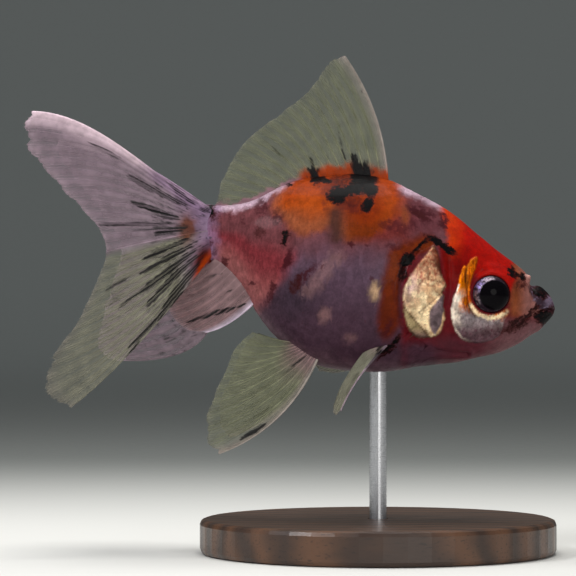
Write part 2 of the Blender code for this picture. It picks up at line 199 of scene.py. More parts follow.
CHEEK_EDGE = (
    (14.0, 46.6), (13.2, 44.6), (12.7, 42.6), (12.8, 40.8), (13.4, 38.9), (14.6, 37.3),
    (16.6, 36.6), (19.0, 36.8), (21.4, 37.9),
)
CHEEK_CREASE = ((15.6, 48.4), (15.45, 46.2), (15.5, 44.2), (16.0, 42.4), (16.9, 41.2))
STRAND_GAP = ((15.6, 50.0), (15.3, 48.6), (15.25, 47.2))
GILL_CORNER = ((11.5, 41.6), (11.3, 39.8), (10.4, 38.2))
UNDER_EYE = ((16.2, 43.0), (17.4, 41.5), (19.2, 40.9), (21.0, 41.1), (22.6, 42.0))
MOUTH_CLEFT = ((31.4, 42.3), (29.4, 42.5), (27.8, 42.0), (26.2, 41.0), (24.9, 40.1))
LIP_FOLD = ((26.4, 46.4), (27.0, 45.2), (26.8, 43.6), (25.7, 41.8), (24.2, 40.0))
LIPS = (
    (26.3, 46.2), (27.6, 47.2), (29.0, 46.6), (30.2, 44.6), (31.4, 42.8), (30.9, 41.4),
    (29.9, 40.3), (28.8, 39.4), (28.3, 40.6), (28.9, 42.0), (27.8, 42.3), (27.4, 43.6),
    (26.8, 44.8),
)


LAY_MIDDLE, LAY_WIDTH = (-15.66, 46.1), 556.8   # the markings spread by 1 part in LAY_WIDTH per mm


def laid(points):
    """Where each point looks up outlines and markings: they spread a little with its width."""
    x, y, z = np.moveaxis(points, -1, 0)
    spread = 1 + np.abs(y) / LAY_WIDTH
    return np.stack((LAY_MIDDLE[0] + (x - LAY_MIDDLE[0]) * spread, y,
                     LAY_MIDDLE[1] + (z - LAY_MIDDLE[1]) * spread), axis=-1)


def distance_to_line(line, x, z):
    """Distance from points to a bent line, and how far along it the nearest place is, 0 to 1."""
    line = np.array(line, dtype=float)
    lengths = np.linalg.norm(np.diff(line, axis=0), axis=1)
    passed = np.concatenate(([0.0], np.cumsum(lengths))) / lengths.sum()
    nearest, place = np.full(x.shape, 1e9), np.zeros(x.shape)
    for i, (start, end) in enumerate(zip(line, line[1:])):
        step = end - start
        t = np.clip(((x - start[0]) * step[0] + (z - start[1]) * step[1]) / (step @ step), 0, 1)
        far = np.hypot(x - start[0] - t * step[0], z - start[1] - t * step[1])
        closer = far < nearest
        nearest = np.where(closer, far, nearest)
        place = np.where(closer, passed[i] + t * (passed[i + 1] - passed[i]), place)
    return nearest, place


def rounded(outline, steps=5):
    """A closed outline with its corners rounded off through its points."""
    points = np.array(outline, dtype=float)
    before, after, last = np.roll(points, 1, 0), np.roll(points, -1, 0), np.roll(points, -2, 0)
    made = []
    for t in np.arange(steps) / steps:
        made.append(0.5 * (2 * points + (after - before) * t
                           + (2 * before - 5 * points + 4 * after - last) * t * t
                           + (3 * points - before - 3 * after + last) * t ** 3))
    return np.stack(made, axis=1).reshape(-1, 2)


def depth_inside(outline, x, z):
    """How deep points lie inside a closed outline; negative outside it."""
    corners = rounded(outline)
    depth = np.full(x.shape, -9.0)
    low, high = corners.min(axis=0) - 3.0, corners.max(axis=0) + 3.0
    near = (x > low[0]) & (x < high[0]) & (z > low[1]) & (z < high[1])
    x_near, z_near = x[near], z[near]
    edge = distance_to_line(np.vstack((corners, corners[:1])), x_near, z_near)[0]
    within = np.zeros(x_near.shape, dtype=bool)
    for (x1, z1), (x2, z2) in zip(corners, np.roll(corners, -1, axis=0)):
        if z1 != z2:
            crosses = (z1 > z_near) != (z2 > z_near)
            within ^= crosses & (x_near < x1 + (z_near - z1) * (x2 - x1) / (z2 - z1))
    depth[near] = np.where(within, edge, -edge)
    return depth


def lumps(points, size, seed, octaves=3):
    """Smooth random values about 0, with lumps about `size` mm across."""
    shift = Vector((seed * 17.3, seed * 5.1, seed * 11.7))
    return np.array([noise.fractal(Vector(p) / size + shift, 1.0, 2.0, octaves)
                     for p in points.reshape(-1, 3)]).reshape(points.shape[:-1])


def sculpt_head(points):
    """Lifts and creases of the head's skin, as a height along the normal at each point."""
    x, y, z = np.moveaxis(laid(points), -1, 0)
    side_y = np.abs(y)
    flank = ramp(1.2, 2.8, side_y)

    def along(line, depth, off, width):
        """A ridge, or a groove where depth is below 0, beside a line on the flank."""
        return flank * depth * hump(distance_to_line(line, x, z)[0], off, width)

    height = flank * ramp(-0.25, 0.35, depth_inside(GILL_PLATE, x, z)) \
        * (0.2 + 0.16 * lumps(points, 1.3, 3, 4))
    height += along(GILL_SEAM_LOW, -0.16, 0.0, 0.16)
    height += along(GILL_SEAM_FRONT, -0.12, 0.0, 0.14)
    place = distance_to_line(GILL_SLIT, x, z)[1]
    height += along(GILL_SLIT, -0.42, 0.0, 0.27) * ramp(0.0, 0.12, place)
    height += along(GILL_SLIT, 0.13, 0.85, 0.5) * ramp(0.0, 0.1, place)
    height += along(PLATE_FRONT_DIP, -0.15, 0.0, 0.45)
    height += along(CHEEK_EDGE, 0.12, 0.35, 0.35)
    height += along(CHEEK_EDGE, -0.08, -0.15, 0.2)
    metal = ramp(-0.15, 0.3, depth_inside(CHEEK_METAL, x, z))
    height += flank * metal * (0.12 + 0.05 * lumps(points, 0.7, 8, 3))
    height += along(CHEEK_CREASE, -0.13, 0.0, 0.16)
    height += along(STRAND_GAP, -0.12, 0.0, 0.2)

    # the mouth: a cleft between the lips, with the fold of the upper jaw behind it
    far, place = distance_to_line(MOUTH_CLEFT, x, z)
    height -= 0.5 * hump(far, 0.0, 0.17) * (1 - 0.75 * place)
    height += 0.1 * hump(far, 0.55, 0.35) * (1 - place)
    height += along(LIP_FOLD, -0.2, 0.0, 0.26)
    height += along(LIP_FOLD, 0.1, 0.7, 0.42)
    height += ramp(26.6, 28.0, x) * 0.045 * lumps(points, 0.55, 12, 3)

    # nostrils: a short upright flap ahead of a pit on each side
    flap = hump(x, 26.15, 0.34) * hump(z, 48.2, 0.75) * hump(side_y, 2.2, 0.55)
    pit = hump(x, 25.35, 0.32) * hump(z, 48.5, 0.4) * hump(side_y, 2.4, 0.42)
    height += 0.75 * flap - 0.42 * pit

    # the crown is gently uneven
    return height + 0.05 * ramp(6.0, 12.0, x) * lumps(points, 2.6, 5, 2)


def set_eye_sockets(points):
    """Draws the skin up to a round rim about each eyeball, and under the eyeball inside it."""
    placed = points.copy()
    for side in (RIGHT, LEFT):
        mirror = np.array((1.0, side, 1.0))
        axis = EYE_AXIS * mirror / np.linalg.norm(EYE_AXIS)
        from_eye = points - EYE_CENTRE * mirror
        up = from_eye @ axis
        off = np.linalg.norm(from_eye - up[..., None] * axis, axis=-1)
        near = (points[..., 1] * side > 0) & (off < SOCKET_REACH)
        crown = RIM_HEIGHT + 0.12 - RIM_SLOPE * (off - RIM_RADIUS)
        blend = 1 - ramp(*SOCKET_BLEND, off)
        height = up + blend * (crown - up)
        height += 0.2 * hump(off, RIM_RADIUS + 0.38, 0.3) - 0.1 * hump(off, 4.35, 0.35)
        sink = ramp(RIM_RADIUS + 0.08, RIM_RADIUS - 0.5, off)
        height = height + sink * (SOCKET_FLOOR - height)
        lift = np.where(near, height - up, 0.0)
        placed += lift[..., None] * axis
    return placed


def skin_grid():
    """Points of the finished skin, in rings, with the plain rings they were raised from."""
    rings = ring_points(body_section(ring_places(RINGS)), HALF_RING, -COAT_DEPTH)
    normals = -grid_normals(rings, True)    # outwards: the rings run from back to left side
    quiet = 1 - ramp(30.2, 30.75, rings[..., 0])
    height = sculpt_head(rings) * quiet
    height += 0.02 * lumps(rings, 1.6, 21, 2) * quiet
    pores = 48.9 + 7.0 * ramp(2.0, -30.0, rings[..., 0])
    height -= 0.03 * hump(rings[..., 2], pores, 0.28) * ramp(3.0, 0.0, rings[..., 0])
    return set_eye_sockets(rings + height[..., None] * normals), rings, normals


# ---------------------------------------------------------------- making meshes

def linked(name, data):
    """A new object in the scene."""
    made = bpy.data.objects.new(name, data)
    bpy.context.scene.collection.objects.link(made)
    return made


def plain_object(name, points_mm, faces, edges=()):
    """A smooth mesh object at the origin, from points in millimetres."""
    mesh = bpy.data.meshes.new(name)
    mesh.from_pydata((np.asarray(points_mm).reshape(-1, 3) * MM).tolist(), edges, faces)
    mesh.validate()
    mesh.shade_smooth()
    return linked(name, mesh)


def sheet_faces(long, wide, first_outward):
    """Faces of a thin closed sheet, from a grid of points and the same grid again behind it, and
    the points on the grid's rim. `first_outward` says which way the grid's first side faces."""
    count = long * wide
    grid = np.arange(count).reshape(long, wide)
    quad = np.stack((grid[:-1, :-1], grid[1:, :-1], grid[1:, 1:], grid[:-1, 1:]), axis=-1)
    quad = quad.reshape(-1, 4)
    rim = np.concatenate((grid[:, 0], grid[-1, 1:], grid[-2::-1, -1], grid[0, -2:0:-1]))
    after = np.roll(rim, -1)
    edge = np.stack((rim, after, after + count, rim + count), axis=-1)
    if first_outward:
        faces = np.vstack((quad, quad[:, ::-1] + count, edge[:, (1, 0, 3, 2)]))
    else:
        faces = np.vstack((quad[:, ::-1], quad + count, edge))
    return faces.tolist(), rim


def capped_faces(count, around):
    """Faces of a closed form made of rings of points, then a pole for each end."""
    grid = np.arange(count * around).reshape(count, around)
    after = np.roll(grid, -1, axis=1)
    quads = np.stack((grid[:-1], grid[1:], after[1:], after[:-1]), axis=-1).reshape(-1, 4)
    first, last = np.full(around, count * around), np.full(around, count * around + 1)
    ends = np.vstack((np.stack((first, grid[0], after[0]), axis=-1),
                      np.stack((last, after[-1], grid[-1]), axis=-1)))
    return quads.tolist() + ends.tolist()


def keep_numbers(made, name, values):
    made.data.attributes.new(name, "FLOAT", "POINT").data.foreach_set(
        "value", np.asarray(values, dtype=np.float32).ravel())


def keep_colours(made, name, colours):
    full = np.ones((len(made.data.vertices), 4), np.float32)
    full[:, :3] = np.asarray(colours).reshape(-1, 3)
    made.data.attributes.new(name, "FLOAT_COLOR", "POINT").data.foreach_set("color", full.ravel())


def keep_map(made, places):
    """The piece's UV map, from one (u, v) for each face corner."""
    layer = made.data.uv_layers.new(name="OFBake")
    layer.data.foreach_set("uv", np.asarray(places, dtype=np.float32).ravel())


def numbers(made, name):
    values = np.empty(len(made.data.vertices), np.float32)
    made.data.attributes[name].data.foreach_get("value", values)
    return values


def corner_vertices(made):
    corners = np.empty(len(made.data.loops), int)
    made.data.loops.foreach_get("vertex_index", corners)
    return corners


def points_of(made):
    """Points of a mesh in millimetres."""
    places = np.empty(len(made.data.vertices) * 3, np.float32)
    made.data.vertices.foreach_get("co", places)
    return places.reshape(-1, 3) / MM


def make_skin():
    """One closed skin over head, trunk and tail stem, with a pole at each end."""
    points, rings, normals = skin_grid()
    count, around = points.shape[:2]
    poles = np.array((points[0].mean(axis=0), points[-1].mean(axis=0) + (0.05, 0.0, 0.0)))
    points = np.vstack((points.reshape(-1, 3), poles))
    made = plain_object("goldfish_skin", points, capped_faces(count, around))

    # the unwrap: tail to snout across, the right side below and the left side above
    along = 0.02 + 0.96 * np.arange(count) / (count - 1)
    ring, column = np.arange(count - 1)[:, None], np.arange(around)[:, None]
    u = np.broadcast_to(along[ring + (0, 1, 1, 0)][:, None, :], (count - 1, around, 4))
    v = np.broadcast_to(around_share(column + (0, 0, 1, 1), column)[None], u.shape)
    places = np.stack((u, v), axis=-1).reshape(-1, 2)
    end_places = []
    for ring, shift in ((0, -0.01), (-1, 0.01)):
        for k in range(around):
            pair = [around_share(np.array(step), k) for step in (k, k + 1)]
            end_places += [(along[ring] + shift, sum(pair) / 2)]
            end_places += [(along[ring], share) for share in (pair if ring == 0 else pair[::-1])]
    keep_map(made, np.vstack((places, end_places)))
    return made, points, rings, normals


def around_share(step, column):
    """Where a step round the body lies on the unwrap, for a face whose first step is `column`."""
    half = HALF_RING
    left = 0.51 + 0.47 * step / half
    right = 0.02 + 0.47 * (2 * half - step) / half
    return np.where(column < half, left, right)


# ---------------------------------------------------------------- colours of skin and scales

def dye(red, green, blue, strength=1.0):
    """A linear colour from 0 to 255 display values."""
    share = np.array((red, green, blue)) / 255
    return strength * np.where(share > 0.04045, ((share + 0.055) / 1.055) ** 2.4, share / 12.92)


BACK_PALE_AND_HIGHLIGHT = dye(190, 162, 178)
ROSE = dye(119, 44, 50)
FLANK = dye(86, 65, 80)
FLANK_UPPER = dye(100, 56, 60)
BELLY_MAUVE_AND_SHADE = dye(67, 45, 58)
BELLY_LOW = dye(94, 70, 80)
REAR_LOW = dye(160, 96, 94)
ORANGE = dye(158, 64, 4)
ORANGE_DEEP = dye(122, 38, 0)
ORANGE_TOP = dye(150, 52, 0)
SADDLE_GREY = dye(64, 38, 32)
CAP_RED = dye(156, 10, 2)
CAP_ORANGE = dye(188, 54, 4)
CHEEK_RED = dye(112, 4, 2)
GILL_BAND = dye(94, 16, 24)
THROAT = dye(76, 36, 46)
SNOUT = dye(134, 68, 38)
SNOUT_PINK = dye(140, 92, 86)
CHIN = dye(104, 68, 72)
LIP = dye(46, 36, 50)
LIP_LAVENDER_AND_HIGHLIGHT = dye(104, 92, 112)
SHOULDER_RED = dye(90, 26, 6)
SHOULDER_ORANGE = dye(112, 42, 6)
STEM_LILAC = dye(136, 104, 134)
NAPE_MAROON = dye(84, 26, 34)
NAPE_ORANGE = dye(136, 66, 30)
GOLD = dye(214, 174, 132)
COPPER = dye(164, 96, 70)
GOLD_PALE_AND_HIGHLIGHT = dye(250, 224, 180)
GOLD_SILVER_AND_SHADE = dye(112, 94, 98)
GOLD_DULL = dye(150, 132, 96)
STRAND_GOLD = dye(255, 138, 6)
STRAND_BROWN = dye(170, 66, 4)
WHITE_GOLD = dye(246, 226, 208)
CHEEK_SILVER = dye(150, 136, 138)
CHEEK_DUSK = dye(84, 56, 64)
CREASE_BROWN = dye(62, 28, 18)
SPOT_GOLD = dye(172, 140, 110)
NAPE_RED = dye(112, 38, 30)
SADDLE_TAN = dye(132, 74, 48)
PALE_STREAK_AND_GLINT = dye(158, 116, 112)
FLANK_DUSK = dye(50, 38, 50)
SADDLE_DUSK = dye(108, 42, 6)
FLAP_PINK = dye(206, 160, 150)
PLATE_LILAC = dye(196, 168, 170)
PLATE_BROWN = dye(150, 84, 60)
PLATE_SHADE = dye(96, 36, 22)
FLECK_MAROON = dye(70, 26, 34)
MARK_MAROON = dye(58, 15, 22)
MARK_RIM = dye(54, 14, 12)
MARK_BLACK = dye(5, 4, 5)

WALNUT_DARK, WALNUT_WARM, WALNUT_PORE = dye(52, 33, 22), dye(92, 60, 38), dye(26, 16, 11)
STEEL_DARK, STEEL_LIGHT = dye(176, 178, 182), dye(206, 207, 210)
PAPER_UNDER, PAPER_SHADE_BEHIND, PAPER_FAR = dye(222, 222, 218), dye(132, 135, 132), dye(178, 182, 178)
IRIS_DARK, IRIS_SILVER, IRIS_VIOLET_HIGHLIGHT = dye(48, 38, 48), dye(126, 114, 122), dye(112, 96, 156)
IRIS_SHADE, PUPIL_BLACK, EYE_RIM = dye(38, 26, 34), dye(9, 7, 10), dye(34, 14, 18)
FIN_BLACK, FIN_FOOT_BLACK = dye(12, 9, 11), dye(10, 6, 6)
TAIL_BROWN, TAIL_RED, TAIL_ORANGE = dye(96, 46, 16), dye(80, 10, 0), dye(196, 70, 8)

# Outlines of the fields of colour on the right side, as (x, z)
SADDLE = (
    (-17.9, 62.4), (-15.6, 64.7), (-13.6, 66.4), (-6.0, 68.5), (1.6, 67.5), (4.3, 62.6),
    (4.3, 60.4), (2.4, 58.2), (0.0, 55.9), (-2.0, 54.2), (-5.5, 54.8), (-8.6, 56.4),
    (-13.4, 55.8), (-16.6, 57.6), (-18.4, 60.2),
)
CAP = ((11.2, 61.5), (12.0, 56.0), (12.9, 53.0), (14.6, 50.6), (16.2, 49.0), (17.6, 47.6),
       (19.6, 47.2), (21.8, 46.8), (22.8, 45.2), (23.7, 46.6), (24.3, 48.0), (23.4, 50.0),
       (25.0, 52.0), (18.0, 60.0))
CHEEK = ((10.6, 53.6), (13.2, 52.8), (16.6, 50.0), (16.2, 46.0), (13.0, 45.2), (12.4, 41.0),
         (13.2, 37.6), (12.0, 35.4), (9.4, 36.6), (11.4, 40.0), (11.4, 46.0), (11.0, 50.6))
SHOULDER = (
    (2.0, 52.4), (4.2, 54.0), (8.4, 55.4), (10.4, 53.6), (7.2, 51.4), (4.4, 48.4), (3.6, 44.0),
    (3.6, 39.8), (1.6, 37.2), (-0.3, 39.0), (0.4, 44.0), (0.9, 49.0),
)
NAPE = (
    (3.6, 60.4), (5.6, 62.6), (9.6, 61.4), (11.8, 57.6), (10.4, 55.6), (6.4, 55.4), (3.8, 57.4),
)
SPOT = ((-1.2, 46.6), (-0.3, 46.9), (0.1, 45.4), (-0.2, 43.8), (-0.9, 44.2), (-1.5, 45.4))
PALE_LINE = ((-11.8, 45.8), (-9.6, 48.6), (-7.4, 51.4))


def side_lay(points):
    """Where each point looks up its markings: the left side carries them moved and stretched."""
    x, y, z = np.moveaxis(laid(points), -1, 0)
    left = ramp(0.0, 4.0, y) * (1 - ramp(6.0, 13.0, x))
    return np.stack((x + left * (2.2 - 0.08 * x), y, z + left * (1.1 + 0.05 * (x + 8.0))), axis=-1)


def mix(base, colour, share):
    return base + (np.asarray(colour) - base) * share[..., None]


def lay(base, *coats):
    """Lays coats of colour over a base, one after another, each as (colour, share)."""
    for colour, share in coats:
        base = mix(base, colour, share)
    return base


def back_and_belly(x):
    """Heights of the back and of the belly at places along the body."""
    table = body_section(np.linspace(0.0, 1.0, TABLE_STEPS))
    return [np.interp(x, table[:, 0], table[:, column]) for column in (1, 2)]


def trunk_colours(points, ground, wave, fine):
    """Colours of trunk and tail stem, from the ground colour up to the shoulder's blush."""
    x, z = ground[..., 0], ground[..., 2]
    top, bottom = back_and_belly(points[..., 0])
    below_back = top - points[..., 2]
    up = (points[..., 2] - bottom) / np.maximum(top - bottom, 0.5) + 0.05 * wave

    def blot(far, start, end):
        return ramp(start, end, far + 0.4 * wave)

    lean = 0.8 * np.minimum(z - 50.0, 0.0) + 0.24 * np.maximum(z - 50.0, 0.0)
    rear = ramp(-13.2, -16.6, x - lean + 1.2 * wave)
    dusk = hump(x + wave, -14.6, 4.2) * hump(z + 0.6 * wave, 44.2, 3.6)
    nape = depth_inside(NAPE, x, z) + 0.5 * wave + 0.35 * fine
    front = ramp(-5.0, -1.0, x + wave) * ramp(8.0, 3.0, x + wave)
    front = front * ramp(53.6, 55.2, z + 0.5 * wave)
    colour = lay(
        FLANK,
        # darker towards the belly: partly the belly's own bluish mauve and partly painted shade
        # under the light from above
        (BELLY_MAUVE_AND_SHADE, ramp(0.56, 0.2, up)),
        (BELLY_LOW, ramp(0.12, 0.0, up)),
        (ROSE, rear * ramp(-0.1, 0.35, up)),
        (REAR_LOW, rear * ramp(0.5, 0.15, up) * 0.7),
        (FLANK_DUSK, dusk * (1 - rear) * 0.75),
        (FLANK_UPPER, ramp(0.5, 0.68, up) * 0.85),
        # paler towards the back: partly the back's own pale pink and partly a painted highlight of
        # the light from above
        (BACK_PALE_AND_HIGHLIGHT, ramp(1.7, 0.4, below_back + 0.6 * fine)),
        (STEM_LILAC, ramp(-26.4, -29.2, x + 1.1 * wave + 0.5 * fine) * 0.9),
        (NAPE_RED, front * ramp(61.5, 59.5, z + 0.5 * wave) * 0.8),
        (NAPE_MAROON, ramp(-0.3, 1.4, nape) * 0.4))

    saddle = depth_inside(SADDLE, x, z) + 0.75 * wave + 0.3 * fine
    deep = ramp(-9.5, -5.5, x + 2 * wave) * (1 - 0.6 * ramp(-0.5, 1.5, x + wave))
    warm = lay(ORANGE, (ORANGE_DEEP, deep), (ORANGE_TOP, ramp(0.84, 0.97, up) * 0.8))
    rim = ramp(2.4, -0.2, saddle) * ramp(-3.0, -6.0, x)
    low = np.clip(rim + ramp(61.0, 57.0, z + wave) * ramp(-3.0, -8.0, x), 0, 1)
    gap = hump(x + 0.5 * wave, -7.3, 1.3) * ramp(61.5, 59.0, z) * ramp(53.0, 55.0, z)
    dusk = ramp(59.8, 56.4, z + wave) * ramp(-7.0, -4.2, x + 0.6 * wave)
    streak = lumps(np.stack((x + 0.62 * (z - 50.0), x * 0.0, (z - 0.62 * x) * 0.16), axis=-1),
                   0.7, 33, 2)
    pale = distance_to_line(PALE_LINE, x, z)[0]
    shoulder = depth_inside(SHOULDER, x, z) + 0.5 * wave + 0.2 * fine
    ahead = np.hypot((x - 4.6) * 1.9, z - 58.6)
    return lay(
        colour,
        (warm, ramp(-0.9, 1.3, saddle)),
        (SADDLE_TAN, low * ramp(-0.9, 0.9, saddle) * ramp(64.5, 61.5, z) * 0.75),
        (SADDLE_GREY, np.clip(gap * 1.3, 0, 1) * 0.9),
        (SADDLE_DUSK, dusk * ramp(-0.7, 0.9, saddle) * 0.85),
        (PALE_STREAK_AND_GLINT, ramp(2.1, 0.4, pale + 1.1 * streak) * 0.34),
        (PALE_STREAK_AND_GLINT, blot(np.hypot(x + 9.2, (z - 41.4) * 0.75), 1.4, 0.3) * 0.45),
        # the pale blot low on the flank here is a painted glint off the scale edges
        (PALE_STREAK_AND_GLINT, blot(np.hypot((x + 4.8) * 0.6, z - 37.4), 1.0, 0.2) * 0.3),
        (SHOULDER_RED, ramp(-0.7, 0.8, shoulder)),
        (SHOULDER_ORANGE, ramp(0.0, 1.4, shoulder) * ramp(37.0, 49.0, z) * 0.7),
        (NAPE_ORANGE, ramp(2.6, 0.8, ahead + 0.8 * wave) * 0.8))


def head_colours(colour, x, y, z, wave, fine):
    """Colours of throat, gill band, cheek, cap, snout and lips, laid over the trunk's."""
    cheek = depth_inside(CHEEK, x, z) + 0.25 * wave
    under = ramp(8.5, 11.0, x) * ramp(38.8, 36.2, z + 0.4 * wave)
    cap = ramp(-0.6, 0.7, depth_inside(CAP, x, z) + 0.3 * wave)
    red = lay(
        CAP_RED,
        (CAP_ORANGE, ramp(15.5, 11.8, x + 0.9 * wave) * 0.85),
        (CHEEK_RED, ramp(-1.4, 0.4, 15.5 - x + 0.8 * wave) * ramp(54.5, 51.5, z) * 0.75))
    crown = ramp(11.6, 12.8, x + 0.5 * fine) * ramp(25.2, 23.8, x) * ramp(50.6, 51.6, z)
    muzzle = mix(SNOUT, SNOUT_PINK, ramp(23.6, 26.4, x + 0.5 * wave))
    snout = ramp(22.2, 23.8, x + 0.3 * wave) * ramp(40.2, 42.0, z)
    lips = ramp(-0.35, 0.35, depth_inside(LIPS, x, z) + 0.35 * fine)
    # the upper lip's tip is painted lavender as a highlight on its bulge
    tip = ramp(28.6, 29.8, x + 0.6 * fine) * ramp(42.4, 43.4, z) * ramp(45.4, 44.4, z)
    flap = hump(x, 26.15, 0.5) * hump(z, 48.4, 0.8) * hump(np.abs(y), 2.2, 0.8)
    return lay(
        colour,
        (THROAT, ramp(11.0, 13.5, x + 0.5 * wave) * ramp(44.5, 41.5, z + 0.4 * wave)),
        (GILL_BAND, ramp(3.4, 4.8, x + 0.3 * wave) * ramp(53.5, 50.0, z)),
        # the underside behind the head darkens the same way, partly painted shade
        (BELLY_MAUVE_AND_SHADE, ramp(2.0, 6.0, x) * (1 - ramp(9.5, 14.0, x))
         * ramp(37.6, 35.4, z + 0.4 * wave) * 0.9),
        (GILL_BAND, ramp(-0.5, 0.8, cheek)),
        (CHEEK_RED, ramp(-0.6, 0.8, cheek) * ramp(44.5, 48.0, z)),
        (THROAT, under * 0.75),
        (red, np.maximum(cap, crown)),
        (muzzle, snout * (1 - cap)),
        (CHIN, ramp(17.0, 22.5, x + 0.5 * wave) * ramp(41.6, 39.6, z)),
        # lavender spots on the lips, and the painted highlight at the upper lip's tip
        (mix(LIP, LIP_LAVENDER_AND_HIGHLIGHT, np.maximum(ramp(0.12, 0.42, fine + 0.3 * wave), tip)),
         np.maximum(lips, ramp(30.2, 30.8, x)) * 0.94),
        (FLAP_PINK, flap * 0.7))


def plate_colours(x, z, wave, fleck, crumple):
    """Colours of the gill plate's crumpled gold, with its silver corner, seams and dull foot. The
    gold is painted paler on the crumples' bumps and darker in their hollows: painted highlight and
    painted shade.
    """
    shade = ramp(0.0, 1.0, x - 9.1 - 0.5 * ramp(51.0, 48.0, z) + 0.4 * fleck)
    foot = ramp(0.0, 0.12, -((z - 43.0) + 1.2 * (x - 4.5)) * 0.64)
    low_seam, front_seam, corner = (distance_to_line(line, x, z)[0] for line in (
        GILL_SEAM_LOW, GILL_SEAM_FRONT, GILL_CORNER))
    return lay(
        GOLD,
        (COPPER, ramp(-0.3, 0.25, fleck + 0.6 * crumple) * ramp(43.5, 48.5, z + wave)),
        (PLATE_LILAC, hump(x, 5.6, 1.5) * hump(z, 46.6, 2.4) * 0.7),
        # paler on the crumples' bumps and darker in their hollows: painted highlight and painted
        # shade
        (GOLD_PALE_AND_HIGHLIGHT, ramp(-0.05, 0.3, crumple) * (0.8 - 0.5 * ramp(47.0, 50.5, z))),
        (GOLD_SILVER_AND_SHADE, ramp(-0.1, -0.4, crumple) * ramp(6.5, 4.5, x) * 0.5),
        # a broad painted highlight on the lower middle of the plate
        (GOLD_PALE_AND_HIGHLIGHT, hump(x, 7.7, 1.8) * hump(z, 41.0, 2.2) * 0.8),
        (PLATE_BROWN, ramp(46.4, 51.0, z + 0.8 * crumple) * 0.5),
        (PLATE_SHADE, shade * ramp(47.0, 48.8, z) * 0.85),
        (GOLD_SILVER_AND_SHADE, ramp(-0.1, 0.3, depth_inside(GILL_SILVER, x, z) + 0.1 * fleck)),
        (GOLD, ramp(0.4, 0.15, corner)),
        (mix(GOLD_DULL, CHEEK_DUSK, ramp(39.6, 37.8, z) * 0.8), foot * 0.95),
        (CREASE_BROWN, np.maximum(0.85 * hump(low_seam, 0.0, 0.14),
                                  0.7 * hump(front_seam, 0.0, 0.12))))


def cheek_colours(x, z, fleck):
    """Colours of the cheek's metal: gold strands above, silver below, a white edge behind."""
    grain = lumps(np.stack((x, x * 0.0, (z + 0.35 * x) * 0.22), axis=-1), 0.32, 43, 3)
    brown = ramp(0.0, 0.45, grain) * 0.7 + ramp(15.2, 15.9, x - 0.12 * (z - 46.0)) * 0.55
    dusk = ramp(40.6, 37.8, z + 0.5 * fleck) * 0.9 + ramp(0.1, 0.4, fleck) * 0.45
    edge, place = distance_to_line(CHEEK_EDGE, x, z)
    white = ramp(2.0, 0.7, edge + 0.5 * fleck) * ramp(46.4, 44.4, z) * ramp(38.6, 41.4, z)
    under, crease, gap = (distance_to_line(line, x, z)[0] for line in (
        UNDER_EYE, CHEEK_CREASE, STRAND_GAP))
    return lay(
        STRAND_GOLD,
        (STRAND_BROWN, np.clip(brown, 0, 1)),
        (mix(CHEEK_SILVER, CHEEK_DUSK, np.clip(dusk, 0, 1)),
         ramp(43.6, 41.6, z + 0.25 * (x - 14.5) + 0.5 * fleck)),
        (WHITE_GOLD, np.maximum(white, ramp(0.32, 0.12, edge) * ramp(0.72, 0.46, place))),
        (GOLD_PALE_AND_HIGHLIGHT, ramp(0.75, 0.25, under + 0.55 * np.abs(fleck)) * 0.95),
        (CREASE_BROWN, 0.75 * np.maximum(hump(crease, 0.0, 0.17), hump(gap, 0.0, 0.22))))


def paint(points):
    """The skin's colour and its metal gleam at points of the body."""
    ground = side_lay(points)
    wave, fine = lumps(ground, 3.2, 31, 4), lumps(ground, 1.0, 32, 3)
    colour = trunk_colours(points, ground, wave, fine)
    x, y, z = np.moveaxis(laid(points), -1, 0)    # the head is alike on both sides
    colour = head_colours(colour, x, y, z, wave, fine)
    fleck, crumple = lumps(points, 0.5, 41, 4), lumps(points, 1.3, 3, 4)
    flank = ramp(0.8, 2.2, np.abs(y))
    plate = ramp(-0.12, 0.25, depth_inside(GILL_PLATE, x, z) + 0.16 * fleck) * flank
    cheek = ramp(-0.14, 0.16, depth_inside(CHEEK_METAL, x, z) + 0.12 * fleck) * flank
    spot = depth_inside(SPOT, ground[..., 0], ground[..., 2])
    gleam = np.zeros(x.shape)
    for tone, share, shine in (
            (plate_colours(x, z, wave, fleck, crumple), plate, 0.8),
            (cheek_colours(x, z, fleck), cheek * ramp(23.2, 21.4, x + 0.8 * fleck), 0.66),
            (SPOT_GOLD, ramp(-0.4, 0.3, spot + 0.1 * fleck), 0.45)):
        colour, gleam = mix(colour, tone, share), gleam + (shine - gleam) * share
    return np.clip(colour, 0, 1), np.clip(gleam, 0, 1)


